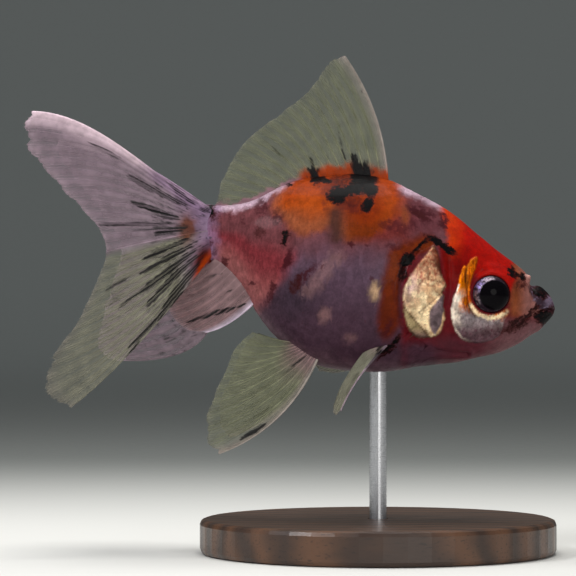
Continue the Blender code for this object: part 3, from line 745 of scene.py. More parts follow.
# Dark marks: x, z, half length, half height, lean in degrees, strength. A lean turns the mark
# counter-clockwise as seen from the right.
BLACK_MARKS = (
    (-7.1, 62.3, 1.5, 1.45, 0, 1.0), (-5.0, 63.0, 2.4, 0.95, 8, 1.0),
    (-2.7, 65.0, 2.2, 2.2, 0, 1.0), (-4.0, 67.4, 0.8, 2.0, 4, 1.0),
    (-1.3, 63.4, 1.1, 1.3, 30, 1.0), (-1.7, 60.7, 0.9, 1.25, -20, 0.95),
    (-11.0, 65.8, 0.9, 1.6, 14, 0.95), (-15.7, 64.3, 0.55, 0.5, 0, 0.85),
    (-9.4, 64.9, 1.4, 0.5, -8, 0.85), (-16.1, 55.4, 0.7, 0.62, -20, 0.78),
    (-16.3, 54.2, 0.35, 0.9, -12, 0.7), (-20.6, 55.6, 1.0, 0.9, 0, 0.4),
    (-29.0, 59.0, 1.2, 1.0, 20, 0.5), (-14.4, 47.4, 1.4, 0.6, 30, 0.42),
    (-29.4, 59.5, 1.1, 0.9, 20, 0.95), (11.1, 53.6, 2.5, 0.52, -32, 0.95),
    (7.2, 53.2, 2.4, 0.42, 44, 0.72), (5.0, 51.0, 1.4, 0.75, 46, 0.9),
    (4.1, 48.8, 0.6, 1.5, 0, 0.6), (23.3, 48.8, 0.55, 0.85, 22, 0.85),
    (25.1, 48.0, 0.6, 0.7, 20, 0.8), (24.3, 48.1, 0.7, 0.5, -30, 0.66),
    (25.2, 46.6, 0.3, 0.9, -14, 0.42), (24.3, 46.6, 0.25, 0.6, -20, 0.36),
    (28.2, 45.4, 1.5, 0.85, -30, 0.8), (30.3, 42.2, 0.9, 1.1, -20, 0.5),
    (28.9, 41.2, 1.6, 1.0, 10, 0.85), (29.4, 40.8, 1.3, 0.9, 48, 0.92),
    (24.4, 40.1, 2.0, 0.9, 16, 0.56), (26.6, 42.0, 2.0, 0.5, 44, 0.6),
    (22.6, 38.8, 1.7, 0.6, 6, 0.5), (-14.5, 46.1, 0.8, 1.1, -20, 0.42),
    (-6.0, 64.8, 2.2, 1.2, 0, 0.44), (-4.4, 61.2, 1.6, 1.0, 0, 0.36),
    (7.3, 59.0, 1.4, 0.6, -30, 0.34), (2.0, 35.9, 2.4, 0.35, 40, 0.8),
    (1.5, 34.7, 2.0, 0.25, 38, 0.7),
)
MAROON_MARKS = (
    (7.0, 59.4, 1.9, 1.0, -30, 1.0), (8.6, 58.6, 1.1, 1.0, 30, 0.95),
    (7.4, 59.2, 0.8, 0.6, 0, 1.0), (6.2, 57.2, 0.7, 1.2, 10, 0.6),
    (11.4, 57.8, 0.8, 1.4, 0, 0.95), (4.0, 56.4, 1.4, 0.9, 0, 0.6), (2.6, 53.2, 1.2, 0.5, 0, 0.6),
    (-17.7, 58.3, 0.7, 1.1, 12, 0.85), (-20.3, 60.6, 0.9, 1.1, 0, 0.75),
    (-17.3, 59.0, 0.9, 0.8, 20, 0.5), (-15.8, 51.0, 0.6, 1.8, -20, 0.95),
    (-12.9, 48.0, 0.6, 2.5, -43, 0.85), (-18.4, 46.5, 0.35, 1.1, -6, 0.85),
    (-18.8, 44.7, 0.38, 1.4, -20, 0.75), (-22.0, 46.6, 0.35, 0.35, 0, 0.8),
    (-26.6, 50.7, 0.62, 0.55, 0, 0.85), (-9.6, 50.0, 0.4, 0.4, 0, 0.6),
    (-29.3, 53.8, 0.45, 0.6, 0, 0.75), (-28.6, 52.4, 0.4, 0.4, 0, 0.6),
    (-4.7, 53.8, 0.65, 0.42, 0, 0.85), (-2.1, 53.4, 0.4, 0.28, 0, 0.6),
    (-1.3, 47.7, 0.45, 0.4, 0, 0.6), (-9.2, 60.6, 0.5, 0.8, 20, 0.4),
    (-4.5, 60.1, 2.2, 0.9, -6, 0.5), (2.0, 57.4, 1.6, 0.9, 20, 0.6),
    (-8.4, 63.6, 1.6, 1.6, 0, 0.5), (-20.6, 59.8, 0.7, 1.4, 20, 0.6),
    (1.6, 39.0, 0.6, 1.6, -30, 0.7), (21.0, 38.9, 2.6, 0.8, 8, 0.5),
    (24.8, 46.9, 0.9, 1.6, -24, 0.55), (-25.5, 58.6, 0.5, 0.4, 0, 0.5),
    (-23.6, 57.6, 0.3, 0.5, 0, 0.5), (2.7, 46.0, 0.45, 2.0, 4, 0.35),
)


# ---------------------------------------------------------------- materials

class Nodes:
    """A node tree under construction, with short ways to add and join its nodes."""

    def __init__(self, tree):
        self.tree = tree

    def node(self, kind, inputs=None, **settings):
        made = self.tree.nodes.new(kind)
        for key, value in settings.items():
            setattr(made, key, value)
        for key, value in (inputs or {}).items():
            self.feed(made.inputs[key], value)
        return made

    def get(self, kind, inputs=None, **settings):
        """The first output of a new node."""
        return self.node(kind, inputs, **settings).outputs[0]

    def feed(self, socket, value):
        if isinstance(value, bpy.types.NodeSocket):
            self.tree.links.new(value, socket)
        elif isinstance(value, (tuple, list, np.ndarray)) and socket.type == "RGBA":
            socket.default_value = (*[float(v) for v in value[:3]], 1.0)
        else:
            socket.default_value = value

    def sum(self, operation, *values, clamp=False):
        return self.get("ShaderNodeMath", dict(enumerate(values)), operation=operation,
                        use_clamp=clamp)

    def times(self, first, second):
        return self.sum("MULTIPLY", first, second)


class Finish(Nodes):
    """A material under construction."""

    def __init__(self, name):
        self.material = bpy.data.materials.new(name)
        self.material.use_nodes = True
        super().__init__(self.material.node_tree)
        self.shader = self.tree.nodes["Principled BSDF"]
        self.place = self.node("ShaderNodeTexCoord").outputs["Object"]

    def set(self, **inputs):
        for key, value in inputs.items():
            self.feed(self.shader.inputs[key.replace("_", " ")], value)
        return self.material

    def kept(self, name, output="Fac"):
        return self.node("ShaderNodeAttribute", attribute_name=name).outputs[output]

    def noise(self, place, size_mm, detail=3.0, rough=0.5, output="Fac"):
        """Noise whose lumps are about size_mm across, from 0 to 1."""
        return self.node("ShaderNodeTexNoise", {"Vector": place, "Scale": 1.0 / (size_mm * MM),
                                                "Detail": detail, "Roughness": rough}
                         ).outputs[output]

    def range(self, value, low, high, to_low=0.0, to_high=1.0):
        return self.get("ShaderNodeMapRange", {"Value": value, "From Min": low, "From Max": high,
                                               "To Min": to_low, "To Max": to_high},
                        interpolation_type="SMOOTHSTEP")

    def vector(self, operation, first, second):
        made = self.node("ShaderNodeVectorMath", {0: first}, operation=operation)
        self.feed(made.inputs["Scale" if operation == "SCALE" else 1], second)
        return made.outputs["Vector"]

    def axis(self, place, letter):
        return self.node("ShaderNodeSeparateXYZ", {0: place}).outputs[letter]

    def stirred(self, place, noise, reach_mm):
        """A place moved at random by colour noise."""
        stir = self.vector("SUBTRACT", noise, (0.5, 0.5, 0.5))
        return self.vector("ADD", place, self.vector("SCALE", stir, reach_mm * MM))

    def blend(self, share, first, second, how="MIX"):
        return self.node("ShaderNodeMix", {0: share, 6: first, 7: second}, data_type="RGBA",
                         blend_type=how).outputs[2]

    def shaded(self, colour, *spread):
        """A colour made darker and lighter, from a value's range to another range."""
        return self.blend(1.0, colour, self.range(*spread), "MULTIPLY")

    def bump(self, height, depth_mm, strength=1.0, under=None):
        inputs = {"Height": height, "Distance": depth_mm * MM, "Strength": strength}
        if under is not None:
            inputs["Normal"] = under
        return self.get("ShaderNodeBump", inputs)


def dark_marks(f, ground, marks):
    """How dark the marks make each place, 0 to 1."""
    total = None
    for x, z, length, height, lean, strength in marks:
        local = f.get("ShaderNodeMapping", {
            "Vector": ground, "Location": (x * MM, 0.0, z * MM),
            "Rotation": (0.0, -math.radians(lean), 0.0),
            "Scale": (length * MM, 1.0, height * MM)}, vector_type="TEXTURE")
        far = f.node("ShaderNodeVectorMath", {0: local}, operation="LENGTH").outputs["Value"]
        share = f.range(far, 1.62, 0.6, 0.0, strength)
        total = share if total is None else f.sum("MAXIMUM", total, share)
    return total


def skin_finish(name, scaled):
    """Pearly wet skin: one colour layout for the skin and for the scales that lie on it."""
    f = Finish(name)
    place = f.place
    x, y = f.axis(place, "X"), f.axis(place, "Y")
    wide = f.times(f.sum("ABSOLUTE", y), 1 / (LAY_WIDTH * MM))
    off = f.vector("SUBTRACT", place, (LAY_MIDDLE[0] * MM, 0.0, LAY_MIDDLE[1] * MM))
    ground = f.vector("ADD", place, f.vector("SCALE", off, wide))
    left = f.times(f.range(y, 0.0, 4.0 * MM), f.range(x, 13.0 * MM, 6.0 * MM))
    moved = f.get("ShaderNodeCombineXYZ", {"X": f.sum("MULTIPLY_ADD", x, -0.08, 2.2 * MM),
                                           "Z": f.sum("MULTIPLY_ADD", x, 0.05, 1.5 * MM)})
    ground = f.vector("ADD", ground, f.vector("SCALE", moved, left))
    for size, reach in ((2.0, 1.8), (0.7, 1.1), (0.26, 0.8)):
        ground = f.stirred(ground, f.noise(place, size, 2.0, 0.5, "Color"), reach)
    flat = f.vector("MULTIPLY", ground, (1.0, 0.0, 1.0))

    # fine grain and mottling, darker dashes towards the tail, and maroon flecks
    grain, mottle = f.noise(place, 0.35, 3.0, 0.6), f.noise(place, 1.3, 4.0, 0.62)
    colour = f.shaded(f.kept("tint", "Color"), mottle, 0.3, 0.72, 0.82, 1.16)
    colour = f.shaded(colour, grain, 0.3, 0.7, 0.9, 1.09)
    dashes = f.noise(f.vector("MULTIPLY", place, (1.0, 0.6, 0.38)), 0.42, 3.0, 0.6)
    colour = f.blend(f.range(x, -9.0 * MM, -17.0 * MM), colour,
                     f.shaded(colour, dashes, 0.36, 0.62, 1.08, 0.82))
    fleck = f.node("ShaderNodeTexVoronoi", {"Vector": place, "Scale": 1.0 / (0.62 * MM)})
    fleck = f.times(f.range(fleck.outputs["Distance"], 0.26, 0.12),
                    f.range(f.noise(place, 3.6, 2.0), 0.5, 0.66))
    gleam = f.kept("gleam")
    bare = f.range(gleam, 0.3, 0.0)
    colour = f.blend(f.times(fleck, f.times(bare, 0.5)), colour, FLECK_MAROON)

    # the maroon marks, then the black ones with a warm rim
    maroon = f.times(dark_marks(f, flat, MAROON_MARKS),
                     f.range(f.noise(place, 0.9, 5.0, 0.62), 0.32, 0.5))
    colour = f.blend(maroon, colour, MARK_MAROON)
    black = f.times(f.times(dark_marks(f, flat, BLACK_MARKS), bare),
                    f.range(f.noise(place, 0.5, 4.0, 0.7), 0.36, 0.56, 0.72, 1.12))
    colour = f.blend(f.range(black, 0.06, 0.6, 0.0, 0.92), colour, MARK_RIM)
    colour = f.blend(f.range(black, 0.36, 0.82), colour, MARK_BLACK)

    # crinkled metal where the skin gleams
    crinkle = f.noise(place, 0.32, 5.0, 0.7)
    colour = f.blend(gleam, colour, f.shaded(colour, f.noise(place, 1.7, 4.0, 0.6),
                                             0.38, 0.62, 0.55, 1.3))
    rough = f.sum("SUBTRACT", f.range(mottle, 0.3, 0.7, 0.66, 0.54),
                  f.times(gleam, f.range(crinkle, 0.3, 0.7, 0.2, 0.38)))
    folds = f.sum("ADD", f.times(crinkle, 0.35), f.noise(place, 1.5, 2.0, 0.55))
    normal = f.bump(f.times(folds, gleam), 0.34, 0.9, f.bump(grain, 0.03, 0.4))
    f.shader.inputs["Subsurface Radius"].default_value = (1.0, 0.4, 0.3)
    return f.set(Base_Color=colour, Roughness=rough, Normal=normal,
                 Metallic=f.times(gleam, f.range(crinkle, 0.25, 0.7, 0.6, 0.95)),
                 Subsurface_Weight=0.0 if scaled else 0.12, Subsurface_Scale=0.9 * MM,
                 Coat_Weight=0.04, Coat_Roughness=0.12, Specular_IOR_Level=0.05)


def fin_finish(name, web):
    """Clear fin skin or a horny fin ray, tinted and clouded as its attributes say."""
    f = Finish(name)
    cloud, fine = f.noise(f.place, 2.2, 4.0, 0.6), f.noise(f.place, 0.4, 3.0, 0.6)
    tint = f.shaded(f.kept("tint", "Color"), cloud, 0.3, 0.7, 0.86, 1.1)
    dark = f.range(f.times(f.kept("dark"), f.range(fine, 0.3, 0.6, 0.72, 1.0)), 0.1, 0.62)
    if web:
        across = f.axis(f.get("ShaderNodeUVMap", uv_map="OFBake"), "X")
        stripe = f.sum("SINE", f.sum("ADD", f.times(across, 210.0), f.times(cloud, 5.0)))
        dark = f.times(dark, f.range(stripe, -0.9, 0.1, 0.45, 1.0))
    veil = f.times(f.kept("veil"), f.range(cloud, 0.25, 0.75, 0.85, 1.12))
    return f.set(Base_Color=f.blend(dark, tint, FIN_BLACK), Roughness=0.4 if web else 0.34,
                 Alpha=f.sum("MAXIMUM", veil, f.times(dark, 0.92), clamp=True),
                 Normal=f.bump(fine, 0.02, 0.4), Specular_IOR_Level=0.16,
                 Subsurface_Weight=0.0, Coat_Weight=0.03, Coat_Roughness=0.2)


def eye_finish():
    f = Finish("eyeball_iris_and_pupil")
    gleam, fine = f.kept("gleam"), f.noise(f.place, 0.22, 4.0, 0.7)
    return f.set(Base_Color=f.shaded(f.kept("tint", "Color"), fine, 0.3, 0.7, 0.72, 1.22),
                 Metallic=f.times(gleam, 0.85), Roughness=f.range(gleam, 0.0, 1.0, 0.12, 0.36),
                 Normal=f.bump(f.times(fine, gleam), 0.05, 0.6), Specular_IOR_Level=0.0,
                 Coat_Weight=1.0, Coat_Roughness=0.03, Coat_IOR=1.12)


def walnut_finish():
    f = Finish("stand_turned_walnut")
    warped = f.stirred(f.place, f.noise(f.place, 22.0, 2.0, 0.5, "Color"), 9.0)
    rings = f.node("ShaderNodeTexWave", {
        "Vector": f.vector("MULTIPLY", warped, (0.18, 1.0, 1.0)), "Scale": 1.0 / (16.0 * MM),
        "Distortion": 2.6, "Detail": 3.0, "Detail Scale": 1.6, "Detail Roughness": 0.6},
        bands_direction="Y").outputs["Fac"]
    pores = f.noise(f.vector("MULTIPLY", f.place, (0.07, 1.0, 1.0)), 0.35, 3.0, 0.6)
    colour = f.blend(rings, WALNUT_DARK, WALNUT_WARM)
    return f.set(Base_Color=f.blend(f.range(pores, 0.56, 0.7, 0.0, 0.65), colour, WALNUT_PORE),
                 Roughness=f.range(pores, 0.3, 0.7, 0.36, 0.5), Normal=f.bump(pores, 0.04, 0.5),
                 Coat_Weight=0.25, Coat_Roughness=0.22)


def steel_finish():
    f = Finish("stand_brushed_steel")
    lines = f.noise(f.vector("MULTIPLY", f.place, (1.0, 1.0, 24.0)), 1.6, 3.0, 0.6)
    return f.set(Base_Color=f.blend(lines, STEEL_DARK, STEEL_LIGHT), Metallic=1.0,
                 Roughness=f.range(lines, 0.3, 0.7, 0.24, 0.4), Normal=f.bump(lines, 0.02, 0.4))


# ---------------------------------------------------------------- eyes

PUPIL_RADIUS, IRIS_RADIUS = 2.5, 3.02
PUPIL_SHIFT = (0.69, -0.14)        # how far the pupil lies ahead of and below the middle
IRIS_AXIS = (0.03, 1.0, 0.02)      # the left eye looks this way, and the right one mirrors it
EYE_STEPS_AROUND = 96


def make_eye(side, word, iris):
    """A glossy eyeball, turned about its axis, with its iris and wide pupil."""
    axis = np.array(IRIS_AXIS) * (1.0, side, 1.0)
    axis /= np.linalg.norm(axis)
    ahead = np.array((1.0, 0.0, 0.0)) - axis[0] * axis
    ahead /= np.linalg.norm(ahead)
    upward = np.cross(axis, ahead) * side
    centre = EYE_CENTRE * (1.0, side, 1.0)
    count = EYE_STEPS_AROUND
    turn = np.linspace(0, 2 * math.pi, count, endpoint=False)
    slopes = np.concatenate((np.linspace(0.0, 1.2, 40), np.linspace(1.25, math.pi, 22)))[1:-1]
    rings = [centre + EYE_RADIUS * math.cos(slope) * axis
             + np.outer(EYE_RADIUS * math.sin(slope) * np.cos(turn), ahead)
             + np.outer(EYE_RADIUS * math.sin(slope) * np.sin(turn), upward) for slope in slopes]
    points = np.vstack((*rings, centre + EYE_RADIUS * axis, centre - EYE_RADIUS * axis))
    # the faces have to turn the other way round on the right, as its rings do
    faces = [face[:1] + face[:0:-1] if side == RIGHT else face[1:] + face[:1]
             for face in capped_faces(len(rings), count)]
    made = plain_object("eye_ball_" + word, points, faces)

    place = points - centre
    front = place[:, 1] * side > 0
    radii = [EYE_RADIUS * math.sin(slope) for slope in slopes]
    off_axis = np.concatenate((np.repeat(radii, count), (0.0, 0.0)))
    turn = np.arctan2(place[:, 2], place[:, 0])
    fleck = lumps(points, 0.5, 51, 4)
    # the iris is painted lighter, silver and violet towards its upper tail side and darker towards
    # its lower front: painted highlight and painted shade of light from the upper left; its metal
    # gleam follows the lit side too
    iris_lit_side = np.clip(0.35 + 0.75 * np.cos(turn - math.radians(140)), 0.08, 1.1)
    violet_highlight = hump(turn, math.radians(142), 0.42) * ramp(-0.2, 0.15, fleck) * 0.8
    silver = lay(IRIS_DARK, (IRIS_SILVER, np.clip(0.8 * (iris_lit_side - 0.4) + 1.5 * fleck, 0, 1)),
                 (IRIS_VIOLET_HIGHLIGHT, violet_highlight),
                 (IRIS_SHADE, np.clip(ramp(0.4, -0.5, np.cos(turn - 2.44)) * 0.8, 0, 1)))
    from_pupil = np.hypot(place[:, 0] - PUPIL_SHIFT[0], place[:, 2] - PUPIL_SHIFT[1])
    shown = ramp(PUPIL_RADIUS, PUPIL_RADIUS + 0.14, from_pupil) * ramp(
        IRIS_RADIUS + 0.1, IRIS_RADIUS - 0.06, off_axis) * front
    rim = ramp(IRIS_RADIUS - 0.06, IRIS_RADIUS + 0.12, off_axis) * front
    colour = lay(PUPIL_BLACK, (silver, shown), (EYE_RIM, rim))
    keep_colours(made, "tint", np.clip(colour, 0, 1))
    keep_numbers(made, "gleam", shown * np.clip(iris_lit_side, 0, 1))
    made.data.materials.append(iris)
    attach(made, "root")
    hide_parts("eye_" + word)


# ---------------------------------------------------------------- stage

CAMERA_LENS, CAMERA_DISTANCE = 200.0, 556.8
AIM = (-15.66, 46.1)
LAMP_AIM = (-12.0, 0.0, 48.0)


def lamp(name, place, size, watts, colour):
    """A round soft lamp, aimed at the middle of the fish."""
    data = bpy.data.lights.new(name, "AREA")
    data.shape, data.size, data.energy, data.color = "DISK", size * MM, watts, colour
    made = linked(name, data)
    made.location = Vector(place) * MM
    made.rotation_mode = "QUATERNION"
    made.rotation_quaternion = (Vector(LAMP_AIM) - Vector(place)).to_track_quat("-Z", "Y")


def make_camera():
    scene = bpy.context.scene
    camera = linked("camera", bpy.data.cameras.new("camera"))
    camera.data.lens, camera.data.sensor_width = CAMERA_LENS, 36.0
    camera.data.clip_start, camera.data.clip_end = 0.01, 10.0
    camera.location = (AIM[0] * MM, -CAMERA_DISTANCE * MM, AIM[1] * MM)
    camera.rotation_euler = (math.pi / 2, 0.0, 0.0)
    scene.camera = camera
    scene.view_settings.view_transform = "Standard"
    scene.cycles.transparent_max_bounces = 32


def make_stage():
    """A floor that sweeps up into a paper backdrop, far enough off to walk around the object."""
    bend, back, rise, wide, front = 700.0, 1900.0, 2400.0, 3200.0, -3200.0
    line = [(front, 0.0), (0.0, 0.0)]
    line += [(back - bend + bend * math.sin(a), bend - bend * math.cos(a))
             for a in np.linspace(0.0, math.pi / 2, 24)]
    line.append((back, rise))
    points = [(x, y, z) for y, z in line for x in (-wide, wide)]
    floor = plain_object("studio_floor", points, [(k, k + 1, k + 3, k + 2)
                                                  for k in range(0, len(points) - 2, 2)])
    f = Finish("studio_paper")
    # pale under the stand, darker a little way behind it and lighter again far off: the darker
    # band is painted shade standing in for the lamps' falloff
    away = f.axis(f.place, "Y")
    tone = f.blend(f.range(away, 40.0 * MM, 330.0 * MM), PAPER_UNDER, PAPER_SHADE_BEHIND)
    floor.data.materials.append(f.set(
        Base_Color=f.blend(f.range(away, 380.0 * MM, 1500.0 * MM), tone, PAPER_FAR),
        Roughness=f.range(f.noise(f.place, 3.0), 0.3, 0.7, 0.8, 0.92)))

    world = bpy.data.worlds.new("studio_air")
    bpy.context.scene.world = world
    world.use_nodes = True
    air = world.node_tree.nodes["Background"].inputs
    air["Color"].default_value, air["Strength"].default_value = (0.92, 0.96, 1.0, 1.0), 0.22
    lamp("lamp_above", (-10.0, 60.0, 420.0), 300.0, 1.6, (1.0, 0.985, 0.96))
    lamp("lamp_front", (160.0, -430.0, 150.0), 260.0, 0.62, (1.0, 0.97, 0.93))
    lamp("lamp_tail_side", (-300.0, -210.0, 330.0), 130.0, 1.0, (0.98, 0.98, 1.0))


# ---------------------------------------------------------------- fins

# Each fin is a fan of curved rays. Its rows run across the rays, each from the leading ray to
# the last one: the root, one or two lines at even steps along the rays, and the outer margin.
# The paired fins are given on the left side.
DORSAL = (
    ((1.7, 0.0, 63.9), (-8.0, 0.0, 64.6), (-19.9, 0.0, 61.4)),
    ((-0.4, 0.0, 75.9), (-12.0, 0.6, 72.2), (-24.3, 0.5, 60.5)),
    ((-5.8, -0.6, 86.5), (-8.8, -0.7, 85.6), (-11.3, -0.5, 81.5), (-16.7, 0.4, 76.8),
     (-23.5, 1.3, 71.5), (-27.0, 1.1, 66.0), (-28.4, 0.6, 60.3)),
)
CAUDAL_RIGHT_UPPER = (
    ((-29.7, 0.75, 60.2), (-29.7, 0.75, 56.0)),
    ((-39.4, 1.3, 66.7), (-35.4, 2.9, 54.85)),
    ((-49.3, 2.0, 73.5), (-41.1, 5.2, 53.65)),
    ((-60.0, 3.0, 76.7), (-61.9, 3.4, 74.4), (-61.3, 3.9, 71.2), (-57.1, 4.9, 65.4),
     (-52.2, 6.1, 60.4), (-47.6, 7.2, 54.8), (-46.8, 7.55, 52.4)),
)
CAUDAL_RIGHT_LOWER = (
    ((-29.7, 0.75, 56.05), (-29.7, 0.85, 50.8)),
    ((-35.5, 3.0, 54.9), (-36.4, 6.4, 42.2)),
    ((-41.2, 5.3, 53.7), (-44.4, 9.9, 33.2)),
    ((-46.9, 7.6, 52.4), (-48.2, 8.5, 48.4), (-51.9, 10.4, 40.2), (-55.2, 11.6, 35.5),
     (-57.6, 12.4, 31.3), (-57.3, 12.7, 28.5), (-55.6, 12.6, 26.7), (-52.7, 12.2, 25.7)),
)
CAUDAL_LEFT_UPPER = (
    ((-29.7, 0.75, 60.2), (-29.7, 0.75, 56.0)),
    ((-42.5, 2.6, 68.4), (-37.8, 7.05, 54.95)),
    ((-55.2, 5.8, 73.9), (-56.6, 7.0, 71.4), (-54.0, 9.4, 66.0), (-49.9, 11.6, 61.0),
     (-46.2, 13.4, 55.6), (-45.4, 14.0, 53.2)),
)
CAUDAL_LEFT_LOWER = (
    ((-29.7, 0.75, 56.05), (-29.7, 0.85, 51.0)),
    ((-37.8, 7.1, 55.0), (-37.1, 10.7, 46.9), (-30.9, 12.2, 37.0)),
    ((-45.4, 14.1, 53.2), (-46.4, 15.8, 49.4), (-48.6, 18.8, 43.4), (-50.2, 21.0, 38.2),
     (-50.3, 22.4, 35.2), (-48.6, 23.1, 33.5), (-46.6, 23.2, 33.0)),
)
ANAL = (
    ((-21.2, 1.2, 43.9), (-25.0, 1.1, 48.4), (-28.9, 0.9, 50.6)),
    ((-25.6, 1.7, 40.2), (-29.6, 1.6, 43.4), (-32.6, 1.0, 48.0)),
    ((-29.8, 2.3, 38.4), (-33.4, 2.2, 38.9), (-36.0, 1.9, 41.3), (-36.6, 1.6, 44.4),
     (-35.6, 1.2, 46.9)),
)
PELVIC = (
    ((-10.3, 3.9, 34.4), (-14.4, 3.3, 36.7)),
    ((-17.3, 7.9, 24.0), (-21.3, 8.0, 30.7), (-18.1, 4.2, 37.3)),
    ((-27.5, 11.6, 17.8), (-29.5, 12.0, 19.6), (-29.8, 11.8, 23.5), (-28.5, 10.8, 27.4),
     (-26.5, 8.8, 32.0), (-25.2, 7.0, 35.3), (-23.1, 5.5, 37.8), (-21.8, 4.8, 38.5)),
)
PECTORAL_RIGHT = (
    ((2.2, 7.8, 37.2), (0.2, 7.0, 38.2)),
    ((-3.3, 13.6, 31.3), (-4.3, 11.1, 31.4), (-4.9, 8.5, 32.0)),
    ((-6.8, 19.4, 25.4), (-7.5, 17.2, 24.7), (-7.9, 13.6, 24.7), (-8.0, 10.8, 25.4),
     (-7.6, 9.2, 26.6)),
)
PECTORAL_LEFT = (
    ((2.2, 7.8, 37.2), (0.2, 7.0, 38.2)),
    ((-0.9, 14.6, 33.9), (-3.7, 12.5, 34.3), (-5.1, 10.1, 35.2)),
    ((-4.2, 21.3, 31.2), (-6.4, 20.2, 30.8), (-9.4, 17.2, 31.0), (-11.0, 13.9, 32.0),
     (-11.0, 12.0, 33.0)),
)
WEB_COLUMNS_PER_RAY, WEB_LINES = 6, 44
WEB_THICK_ROOT, WEB_THICK_EDGE = 0.2, 0.08
WEB_VALLEY = 0.05          # how far the web hangs back between the rays
ROOT_FLESH = 2.2           # how much thicker a fleshy root is
RAY_SIDES = 6
FIRST_FORK, SECOND_FORK = 0.42, 0.7      # how far out the rays fork
FORK_SPREAD = 0.25         # how far a fork's arms part, in shares of the space between rays
RAY_GIRTH, ARM_GIRTH, TWIG_GIRTH = 0.15, 0.092, 0.066     # radii where each part starts
FIRST_GIRTH, LAST_GIRTH = 0.21, 0.12     # radii of the unbranched first and last rays
WHOLE_STEPS, STEM_STEPS, FORK_STEPS = 26, 12, 9           # points along each kind of line

FIN_MAUVE = dye(134, 116, 126)
FIN_PINK = dye(140, 112, 114)
FIN_ROOT_PINK = dye(150, 112, 122)
FIN_PALE = dye(130, 128, 110)
FIN_LILAC = dye(132, 106, 134)
FIN_EDGE_AND_HIGHLIGHT = dye(220, 194, 204)
FIN_WHITE = dye(196, 180, 196)
FIN_GREEN_GREY = dye(122, 124, 100)
FIN_ORANGE = dye(158, 56, 2)
FIN_RIM = dye(156, 146, 138)


class Fin:
    """One fin's sheet: a place on it is (across, along), from the leading ray and the root."""

    def __init__(self, rows, side, rays, seed, reach=1.0, frayed=0.022, start=0.0, flesh=0):
        self.paths = [smooth_rows(row, 3) for row in rows]
        self.flesh = flesh            # 1 or -1: the root is fleshy towards the last or first ray
        self.side, self.rays, self.reach = side, rays, reach
        self.start, self.frayed = start, frayed
        self.centre = self.paths[0](np.array(0.5))
        self.ends = np.random.default_rng(seed).uniform(-1.0, 1.0, rays + 2)

    def point(self, across, along):
        """A curve out through the rows' places at one share across."""
        count = len(self.paths)
        place = 0.0
        for row, path in enumerate(self.paths):
            share = 1.0
            for other in set(range(count)) - {row}:
                share = share * (along * (count - 1) - other) / (row - other)
            place = place + path(np.clip(across, 0.0, 1.0)) * share[..., None]
        place = self.centre + (place - self.centre) * self.reach
        return place * (1.0, self.side, 1.0)

    def margin(self, across):
        """How far out the fin's edge lies: rays stand out a little and are not all alike."""
        ray = across * self.rays
        here = np.clip(ray.astype(int), 0, self.rays)
        blend = ramp(0.3, 0.7, ray - here)
        uneven = self.ends[here] + (self.ends[here + 1] - self.ends[here]) * blend
        notch = 1 - np.abs(np.cos(math.pi * ray * 2)) ** 0.7
        inner = ramp(0.0, 0.04, across) * ramp(1.0, 0.96, across)
        return 1.0 - inner * self.frayed * (0.55 + 0.45 * uneven + 0.5 * notch)


def fin_web(name, fin, look):
    """The clear skin between the rays: a thin closed sheet, with its colours and clouding."""
    columns = fin.rays * WEB_COLUMNS_PER_RAY + 1
    across = np.linspace(0.0, 1.0, columns)[:, None]
    share = np.linspace(0.0, 1.0, WEB_LINES)[None, :] ** 0.9
    along = fin.start + (fin.margin(across) - fin.start) * share
    across = np.broadcast_to(across, along.shape)
    middle = fin.point(across, along)
    # rays stand proud of the web, which hangs in slight valleys between them
    normal = grid_normals(middle, False)
    thick = WEB_THICK_ROOT + (WEB_THICK_EDGE - WEB_THICK_ROOT) * along
    if fin.flesh:
        off = (1 - across) if fin.flesh > 0 else across
        thick = thick + ROOT_FLESH * ramp(0.26, 0.0, along) * np.sqrt(1 - 0.93 * off ** 2)
    ripple = WEB_VALLEY * np.cos(2 * math.pi * across * fin.rays) * ramp(0.1, 0.5, along)
    front = middle + normal * (thick / 2 + ripple)[..., None]
    back = middle - normal * (thick / 2 - ripple)[..., None]
    made = plain_object(name, np.stack((front, back)), sheet_faces(columns, WEB_LINES, False)[0])
    colour, veil, dark = look(middle, across, along)
    keep_colours(made, "tint", np.stack((colour, colour)))
    keep_numbers(made, "veil", np.stack((veil, veil)))
    keep_numbers(made, "dark", np.stack((dark, dark)))
    u, v = across.reshape(-1), share.repeat(columns, axis=0).reshape(-1)
    half = np.stack((0.02 + 0.46 * u, 0.02 + 0.96 * v), axis=-1)
    keep_map(made, np.vstack((half, half + (0.5, 0.0)))[corner_vertices(made)])
    return made


def ray_lines(fin):
    """Branching rays as (across, along, girth) lines: one from the root, two past the first
    fork and four past the second. The first and the last ray stay whole."""
    lines = []
    for ray in range(fin.rays + 1):
        across = ray / fin.rays
        fork = FIRST_FORK + 0.06 * fin.ends[ray]
        second = SECOND_FORK + 0.05 * fin.ends[ray]
        if ray in (0, fin.rays):
            along = np.linspace(fin.start, 0.995, WHOLE_STEPS)
            girth = (FIRST_GIRTH if ray == 0 else LAST_GIRTH) * (1 - 0.7 * along)
            lines.append((np.full(WHOLE_STEPS, across), along, girth))
            continue
        along = np.linspace(fin.start, fork, STEM_STEPS)
        lines.append((np.full(STEM_STEPS, across), along, RAY_GIRTH - 0.12 * along))
        spread = FORK_SPREAD / fin.rays
        for way in (-1, 1):
            mid = np.linspace(fork, second, FORK_STEPS)
            bend = way * spread * ramp(fork - 0.05, 0.95, mid)
            lines.append((across + bend, mid, ARM_GIRTH - 0.06 * (mid - fork)))
            for twig in (-1, 1):
                tip = np.linspace(second, 1.0, FORK_STEPS)
                bend = way * spread * ramp(fork - 0.05, 0.95, tip) \
                    + twig * spread * 0.5 * ramp(second - 0.03, 1.0, tip)
                end = fin.margin(across + bend)
                along = second + (tip - second) * (end + 0.004 - second) / (1 - second)
                lines.append((across + bend, along, TWIG_GIRTH - 0.1 * (tip - second)))
    return lines


